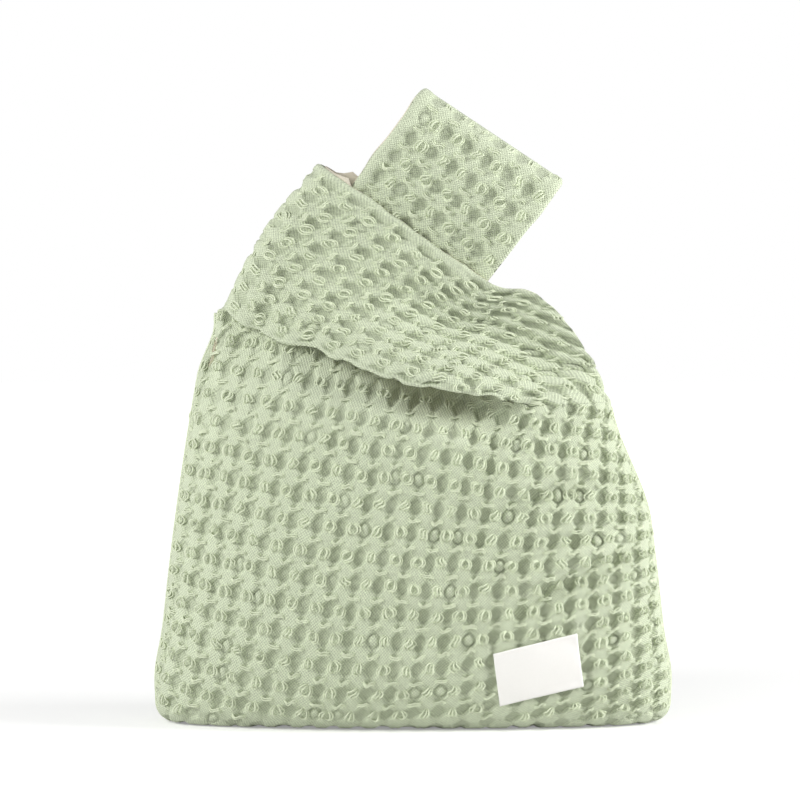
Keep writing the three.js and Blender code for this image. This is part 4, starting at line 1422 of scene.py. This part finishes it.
def yarn_cotton():
    # The loose yarns are the cloth's own yarn, made lighter than the dye as a painted highlight
    yarn = bpy.context.scene.wrist_bag_colours.yarn
    return cotton("Loose Yarn", yarn, thread_height=0.00005, pit_shade_tone=1.0, thread_tone=0.06, roughness=0.9)


def lining_cotton():
    lining = bpy.context.scene.wrist_bag_colours.lining
    return cotton(
        "Lining Cotton", lining, thread_height=0.00006, pit_shade_tone=1.0, thread_tone=0.05, roughness=0.9,
    )


def label_tape():
    label = bpy.context.scene.wrist_bag_colours.label
    return cotton("Label Tape", label, thread_height=0.00004, pit_shade_tone=1.0, thread_tone=0.03, roughness=0.85)


# Settings


class WristBagWeave(bpy.types.PropertyGroup):
    """Sizes of the giant waffle weave"""

    cell_width: FloatProperty(
        name="Cell Width", description="Width of a waffle cell", default=0.0118, unit="LENGTH",
    )
    row_pitch: FloatProperty(
        name="Row Pitch", description="Height of a waffle row", default=0.0127, unit="LENGTH",
    )
    pit_depth: FloatProperty(
        name="Pit Depth", description="Usual depth of a pit", default=0.0023, unit="LENGTH",
    )
    eye_depth: FloatProperty(
        name="Eye Depth", description="Depth under the knobs' yarns", default=0.0009, unit="LENGTH",
    )
    valley_depth: FloatProperty(
        name="Valley Depth", description="Depth under the floats", default=0.0013, unit="LENGTH",
    )
    yarn_width: FloatProperty(
        name="Yarn Width", description="Width of a loose yarn", default=0.0007, unit="LENGTH",
    )
    popped_share: FloatProperty(
        name="Popped Pits", description="Share of pits that are pushed out", default=0.14, subtype="FACTOR",
    )
    threads_per_cell: IntProperty(name="Threads", description="Threads across one waffle cell", default=16)


class WristBagColours(bpy.types.PropertyGroup):
    """Colours of the cloths"""

    dye: FloatVectorProperty(
        name="Dye", description="Colour of the waffle cotton", subtype="COLOR", default=linear(205, 214, 186),
    )
    # Painted highlight: the loose yarns are the cloth's own yarn, made lighter than the dye for the light
    # they catch
    yarn: FloatVectorProperty(
        name="Yarn", description="Colour of the loose yarns", subtype="COLOR", default=linear(217, 225, 197),
    )
    lining: FloatVectorProperty(
        name="Lining", description="Colour of the lining", subtype="COLOR", default=linear(236, 228, 209),
    )
    label: FloatVectorProperty(
        name="Label", description="Colour of the label tape", subtype="COLOR", default=linear(247, 245, 241),
    )
    # Painted shade: how dark the pits and hollows are painted beside the rest
    pit_shade_tone: FloatProperty(
        name="Pit Shade Tone", description="Tone of the pits beside the rest", default=0.89, subtype="FACTOR",
    )


class WristBagLabel(bpy.types.PropertyGroup):
    """Size and place of the bare label"""

    width: FloatProperty(name="Width", description="Width of the label", default=0.0404, unit="LENGTH")
    height: FloatProperty(name="Height", description="Height of the label", default=0.0263, unit="LENGTH")
    thickness: FloatProperty(
        name="Thickness", description="Thickness of the tape", default=0.0005, unit="LENGTH",
    )
    turn: FloatProperty(
        name="Turn", description="Turn of the label", default=math.radians(12.7), unit="ROTATION",
    )
    across: FloatProperty(
        name="Across", description="Middle of the label from the bag's middle", default=0.0587, unit="LENGTH",
    )
    up: FloatProperty(
        name="Up", description="Middle of the label above the base", default=0.0301, unit="LENGTH",
    )
    upright: FloatProperty(
        name="Upright", description="Lean of the ends beside the turn", default=0.58, subtype="FACTOR",
    )
    stand: FloatProperty(name="Stand", description="Height over the cloth", default=0.0009, unit="LENGTH")


class WristBagStage(bpy.types.PropertyGroup):
    """Camera, lamps and floor"""

    lens: FloatProperty(name="Lens", description="Focal length in millimetres", default=200.0)
    distance: FloatProperty(name="Distance", description="Camera to the bag", default=2.085, unit="LENGTH")
    elevation: FloatProperty(
        name="Elevation", description="Camera above the horizon", default=math.radians(6), unit="ROTATION",
    )
    aim: FloatVectorProperty(
        name="Aim", description="Where the camera looks", default=(-0.0062, -0.020, 0.1561), subtype="XYZ",
    )
    key_power: FloatProperty(
        name="Key Power", description="Power of the main lamp", default=12.8, unit="POWER",
    )
    key_size: FloatProperty(
        name="Key Size", description="Width of the main lamp", default=0.5, unit="LENGTH",
    )
    fill_power: FloatProperty(
        name="Fill Power", description="Power of the lamp on the right", default=15.3, unit="POWER",
    )
    world_light: FloatProperty(
        name="World Light", description="Strength of the light all round", default=0.33,
    )


SETTINGS = {
    "wrist_bag_weave": WristBagWeave,
    "wrist_bag_colours": WristBagColours,
    "wrist_bag_label": WristBagLabel,
    "wrist_bag_stage": WristBagStage,
}

# Pieces

STRAP_SPLIT = 0.24


def in_space(point):
    return (point[0], 0.0, point[1])


def dress(piece, material, nodes, bodies):
    """Gives a piece its material and hides the imported nodes that it stands for. A piece of the bag is
    attached to the bag's body; one of the pull or the swing only has its place baked into its mesh.
    """
    piece.data.materials.append(material)
    if nodes:
        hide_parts(*nodes)
    if bodies == "pull":
        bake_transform(piece)
    elif bodies == "swing":
        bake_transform(piece)
    else:
        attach(piece, bodies)
    return piece


def sew_cloth(name, cloth, nodes, bodies, hidden=None):
    """A cloth with the loose yarns of its knobs and floats."""
    dress(cloth_mesh(f"{name}_cloth", cloth), waffle_cotton(), nodes, bodies)
    for kind in ("knob", "float"):
        paths, radii, normals = loose_yarns(cloth, kind, hidden)
        yarns = yarn_mesh(f"{name}_{kind}s", paths, radii, normals)
        dress(yarns, yarn_cotton(), (), bodies)


def lining_mesh(name, cloth, folded):
    """A thin closed sheet behind a cloth, on a coarser grid.

    That of the folded short handle stops short of the lower hem and looks out past the upper one.
    """
    rows, columns = cloth.base.shape[:2]
    first_row = LINING_INSET if folded else 0
    pick = np.ix_(
        np.unique(np.append(np.arange(first_row, rows, INNER_STEP), rows - 1)),
        np.unique(np.append(np.arange(0, columns, INNER_STEP), columns - 1)),
    )
    base, normals = cloth.base[pick], cloth.normals[pick]
    if folded:
        base[-1] += np.array(in_space(ALONG)) * lining_shown(base[-1])[:, None]
    layers = [base - normals * depth for depth in (CLOTH + LINING_GAP, STACK)]
    threads = np.stack([cloth.column[pick].ravel(), cloth.row[pick].ravel()], axis=1) * LINING_THREADS
    return sheet_mesh(name, layers, threads)


def lining_shown(hem):
    """How far the short handle's lining looks out at the fold, at places of its upper hem."""
    beside = -((hem[:, [0, 2]] - STRAP_EXIT) @ ACROSS) - STRAP_HALF
    puff = LINING_PUFF * (1.0 - smooth(beside, *LINING_PUFF_RUN))
    return (LINING_SHOWN + puff) * smooth(beside, *LINING_SHOWN_RUN)


class WRISTBAG_OT_panels(bpy.types.Operator):
    """Sew the front and back panels of the body"""

    bl_idname = "wrist_bag.panels"
    bl_label = "Body Panels"

    def execute(self, context):
        weave = context.scene.wrist_bag_weave
        front = body_cloth(weave)
        sew_cloth("front", front, ["front_panel"], "bag", under_label_or_base)
        sew_cloth("back", body_cloth(weave, back=True), ["back_panel"], "bag", underneath)
        stitches = yarn_mesh("side_seam_stitches", *side_stitches())
        dress(stitches, yarn_cotton(), (), "bag")
        return {"FINISHED"}


class WRISTBAG_OT_short_handle(bpy.types.Operator):
    """Sew the short handle, which folds over the long one"""

    bl_idname = "wrist_bag.short_handle"
    bl_label = "Short Handle"

    def execute(self, context):
        weave = context.scene.wrist_bag_weave
        sew_cloth("short_handle_front", band_cloth(weave), ["short_handle_front"], "bag")
        sew_cloth("short_handle_back", band_cloth(weave, back=True), ["short_handle_back"], "bag")
        return {"FINISHED"}


class WRISTBAG_OT_long_handle(bpy.types.Operator):
    """Sew the long handle, from its root through the short handle to the end of the wrist loop"""

    bl_idname = "wrist_bag.long_handle"
    bl_label = "Long Handle and Wrist Loop"

    def execute(self, context):
        weave = context.scene.wrist_bag_weave
        for side, back in (("front", False), ("back", True)):
            root = strap_cloth(weave, 0.0, STRAP_SPLIT, back)
            sew_cloth(f"long_handle_{side}_root", root, (), "pull")
            loop = strap_cloth(weave, STRAP_SPLIT, 1.0, back)
            nodes = [f"long_handle_{side}", f"wrist_loop_{side}"]
            sew_cloth(f"wrist_loop_{side}", loop, nodes, "swing")
        return {"FINISHED"}


class WRISTBAG_OT_linings(bpy.types.Operator):
    """Line the panels and both handles"""

    bl_idname = "wrist_bag.linings"
    bl_label = "Linings"

    def execute(self, context):
        weave = context.scene.wrist_bag_weave
        for side, back in (("front", False), ("back", True)):
            sheets = [
                (f"{side}_lining_sheet", body_cloth(weave, back), [f"{side}_lining"], "bag"),
                (f"short_handle_{side}_lining_sheet", band_cloth(weave, back),
                 [f"short_handle_{side}_lining"], "bag"),
                (f"long_handle_{side}_root_lining", strap_cloth(weave, 0.0, STRAP_SPLIT, back), (), "pull"),
                (f"wrist_loop_{side}_lining_sheet", strap_cloth(weave, STRAP_SPLIT, 1.0, back),
                 [f"long_handle_{side}_lining", f"wrist_loop_{side}_lining"], "swing"),
            ]
            for name, cloth, nodes, bodies in sheets:
                lining = lining_mesh(name, cloth, name.startswith("short_handle"))
                dress(lining, lining_cotton(), nodes, bodies)
        return {"FINISHED"}


LABEL_MARGIN = 0.0035
LABEL_WAVE = 0.0003
LABEL_WAVE_WIDTH = 0.011
LABEL_WAVE_HEIGHT = 0.010
LABEL_WAVE_SEED = 71
LABEL_WAVE_AWAY = (0.0, 0.004)
LABEL_CURL = 0.0005
LABEL_CURL_RUN = (0.7, 1.0)
LABEL_THREAD = 0.00028
BARE_HEIGHT = 0.007


def underneath(places):
    return places[..., 2] < BARE_HEIGHT


def under_label_or_base(places):
    """Where the front has no loose yarns, because the label or the floor presses them flat."""
    label = bpy.context.scene.wrist_bag_label
    right, above = places[..., 0] - label.across, places[..., 2] - label.up
    c, s = math.cos(label.turn), math.sin(label.turn)
    along, up = right * c + above * s, above * c - right * s
    covered = np.abs(along) < label.width / 2 + LABEL_MARGIN
    covered &= np.abs(up) < label.height / 2 + LABEL_MARGIN
    return covered | underneath(places)


class WRISTBAG_OT_label(bpy.types.Operator):
    """Sew the bare label on the front panel"""

    bl_idname = "wrist_bag.label"
    bl_label = "Label"

    def execute(self, context):
        label = context.scene.wrist_bag_label
        flat = np.zeros((LABEL_ROWS + 1, LABEL_COLUMNS + 1))
        along = np.linspace(-0.5, 0.5, LABEL_COLUMNS + 1)[None] * label.width + flat
        up = np.linspace(-0.5, 0.5, LABEL_ROWS + 1)[:, None] * label.height + flat
        c, s = math.cos(label.turn), math.sin(label.turn)
        x = label.across + along * c - up * s * label.upright
        z = label.up + along * s + up * c
        border = np.minimum(label.width / 2 - np.abs(along), label.height / 2 - np.abs(up))
        wave = LABEL_WAVE * drift(along / LABEL_WAVE_WIDTH, up / LABEL_WAVE_HEIGHT, LABEL_WAVE_SEED)
        wave = wave * smooth(border, *LABEL_WAVE_AWAY)
        stand = HALF_SEAM + label.stand + label.thickness
        skin = np.stack([x, -full_depth(x, z) - stand, z + FLOOR_GAP], axis=-1)
        normals = Cloth.square_to(skin)
        corner = np.abs(along) / label.width + np.abs(up) / label.height
        curl = LABEL_CURL * smooth(corner, *LABEL_CURL_RUN)
        top = skin + normals * (wave + curl)[..., None]
        bottom = top - normals * label.thickness
        threads = np.stack([along.ravel(), up.ravel()], axis=1) / LABEL_THREAD
        piece = sheet_mesh("label_patch", [top, bottom], threads)
        dress(piece, label_tape(), ["label"], "bag")
        return {"FINISHED"}


KEY_PLACE = (-1.00, -0.66, 0.80)
FILL_PLACE = (1.16, -0.19, 0.55)
LAMPS_AIM = (0.0, 0.0, 0.13)
CLIP_START = 0.1
FLOOR_HALF = 1.6
FLOOR_TONE = (0.86, 0.86, 0.86, 1.0)
WHITE = (1.0, 1.0, 1.0, 1.0)
# How the floor looks whiter further from the bag, to the camera alone
FLOOR_GLOW = {"From Min": 0.25, "From Max": 0.9, "To Min": 0.28, "To Max": 0.75}


class WRISTBAG_OT_stage(bpy.types.Operator):
    """Set up the camera, the lamps, the floor and the world"""

    bl_idname = "wrist_bag.stage"
    bl_label = "Stage"

    def execute(self, context):
        stage = context.scene.wrist_bag_stage
        scene = context.scene
        scene.view_settings.view_transform = "Standard"
        camera = bpy.data.objects.new("Camera", bpy.data.cameras.new("Camera"))
        camera.data.lens = stage.lens
        camera.data.clip_start = CLIP_START
        aim = Vector(stage.aim)
        back = Vector((0.0, -math.cos(stage.elevation), math.sin(stage.elevation)))
        camera.location = aim + back * stage.distance
        camera.rotation_euler = (-back).to_track_quat("-Z", "Y").to_euler()
        scene.collection.objects.link(camera)
        scene.camera = camera
        add_lamp("Key", KEY_PLACE, stage.key_power, stage.key_size)
        add_lamp("Fill", FILL_PLACE, stage.fill_power, stage.key_size)
        add_floor()
        add_world(stage.world_light)
        return {"FINISHED"}


def add_lamp(name, place, power, size):
    lamp = bpy.data.lights.new(name, "AREA")
    lamp.energy = power
    lamp.size = size
    holder = bpy.data.objects.new(name, lamp)
    holder.location = place
    aim = Vector(LAMPS_AIM) - holder.location
    holder.rotation_euler = aim.to_track_quat("-Z", "Y").to_euler()
    bpy.context.scene.collection.objects.link(holder)


def seen_by_camera(tree):
    """1 where the camera sees a place, itself or through gloss or glass, and 0 for other light."""
    path = add_node(tree, "LightPath", {})
    seen = calculate(tree, "MAXIMUM", path.outputs["Is Camera Ray"], path.outputs["Is Glossy Ray"])
    return calculate(tree, "MAXIMUM", seen, path.outputs["Is Transmission Ray"])


def add_floor():
    """A pale floor that the camera sees as white, and that keeps the bag's shadow."""
    corners = np.array([[-1, -1, 0], [1, -1, 0], [1, 1, 0], [-1, 1, 0]]) * FLOOR_HALF
    floor = mesh_object("floor", corners, [np.array([[0, 1, 2, 3]])], {}, {})
    material = bpy.data.materials.new("Floor")
    material.use_nodes = True
    tree = material.node_tree
    place = add_node(tree, "TexCoord", {}).outputs["Object"]
    away = add_node(tree, "VectorMath", {0: place}, operation="LENGTH").outputs["Value"]
    glow = add_node(tree, "MapRange", {"Value": away, **FLOOR_GLOW}, interpolation_type="SMOOTHSTEP")
    fill_inputs(tree, tree.nodes["Principled BSDF"], {
        "Base Color": FLOOR_TONE,
        "Roughness": 1.0,
        "Specular IOR Level": 0.0,
        "Emission Color": WHITE,
        "Emission Strength": calculate(tree, "MULTIPLY", seen_by_camera(tree), glow.outputs["Result"]),
    })
    floor.data.materials.append(material)


def add_world(strength):
    """Even light all round, and plain white where the camera looks past the floor."""
    world = bpy.data.worlds.new("World")
    bpy.context.scene.world = world
    world.use_nodes = True
    tree = world.node_tree
    seen = seen_by_camera(tree)
    dim = calculate(tree, "SUBTRACT", 1.0, seen)
    amount = calculate(tree, "MULTIPLY_ADD", dim, strength, seen)
    fill_inputs(tree, tree.nodes["Background"], {"Color": WHITE, "Strength": amount})


class WRISTBAG_PT_panel(bpy.types.Panel):
    """Settings and steps of the wrist bag"""

    bl_label = "Wrist Bag"
    bl_idname = "WRISTBAG_PT_panel"
    bl_space_type = "VIEW_3D"
    bl_region_type = "UI"
    bl_category = "Wrist Bag"

    def draw(self, context):
        for name, kind in SETTINGS.items():
            box = self.layout.box()
            settings = getattr(context.scene, name)
            for title in kind.__annotations__:
                box.prop(settings, title)
        for operator in OPERATORS:
            self.layout.operator(operator.bl_idname)


OPERATORS = [
    WRISTBAG_OT_stage,
    WRISTBAG_OT_panels,
    WRISTBAG_OT_short_handle,
    WRISTBAG_OT_long_handle,
    WRISTBAG_OT_linings,
    WRISTBAG_OT_label,
]


def register():
    for kind in [*SETTINGS.values(), *OPERATORS, WRISTBAG_PT_panel]:
        bpy.utils.register_class(kind)
    for name, kind in SETTINGS.items():
        setattr(bpy.types.Scene, name, PointerProperty(type=kind))


def unregister():
    for name in SETTINGS:
        delattr(bpy.types.Scene, name)
    for kind in reversed([*SETTINGS.values(), *OPERATORS, WRISTBAG_PT_panel]):
        bpy.utils.unregister_class(kind)


def main():
    register()
    bpy.ops.wrist_bag.stage()
    bpy.ops.wrist_bag.panels()
    bpy.ops.wrist_bag.short_handle()
    bpy.ops.wrist_bag.long_handle()
    bpy.ops.wrist_bag.linings()
    bpy.ops.wrist_bag.label()


if __name__ == "__main__":
    main()
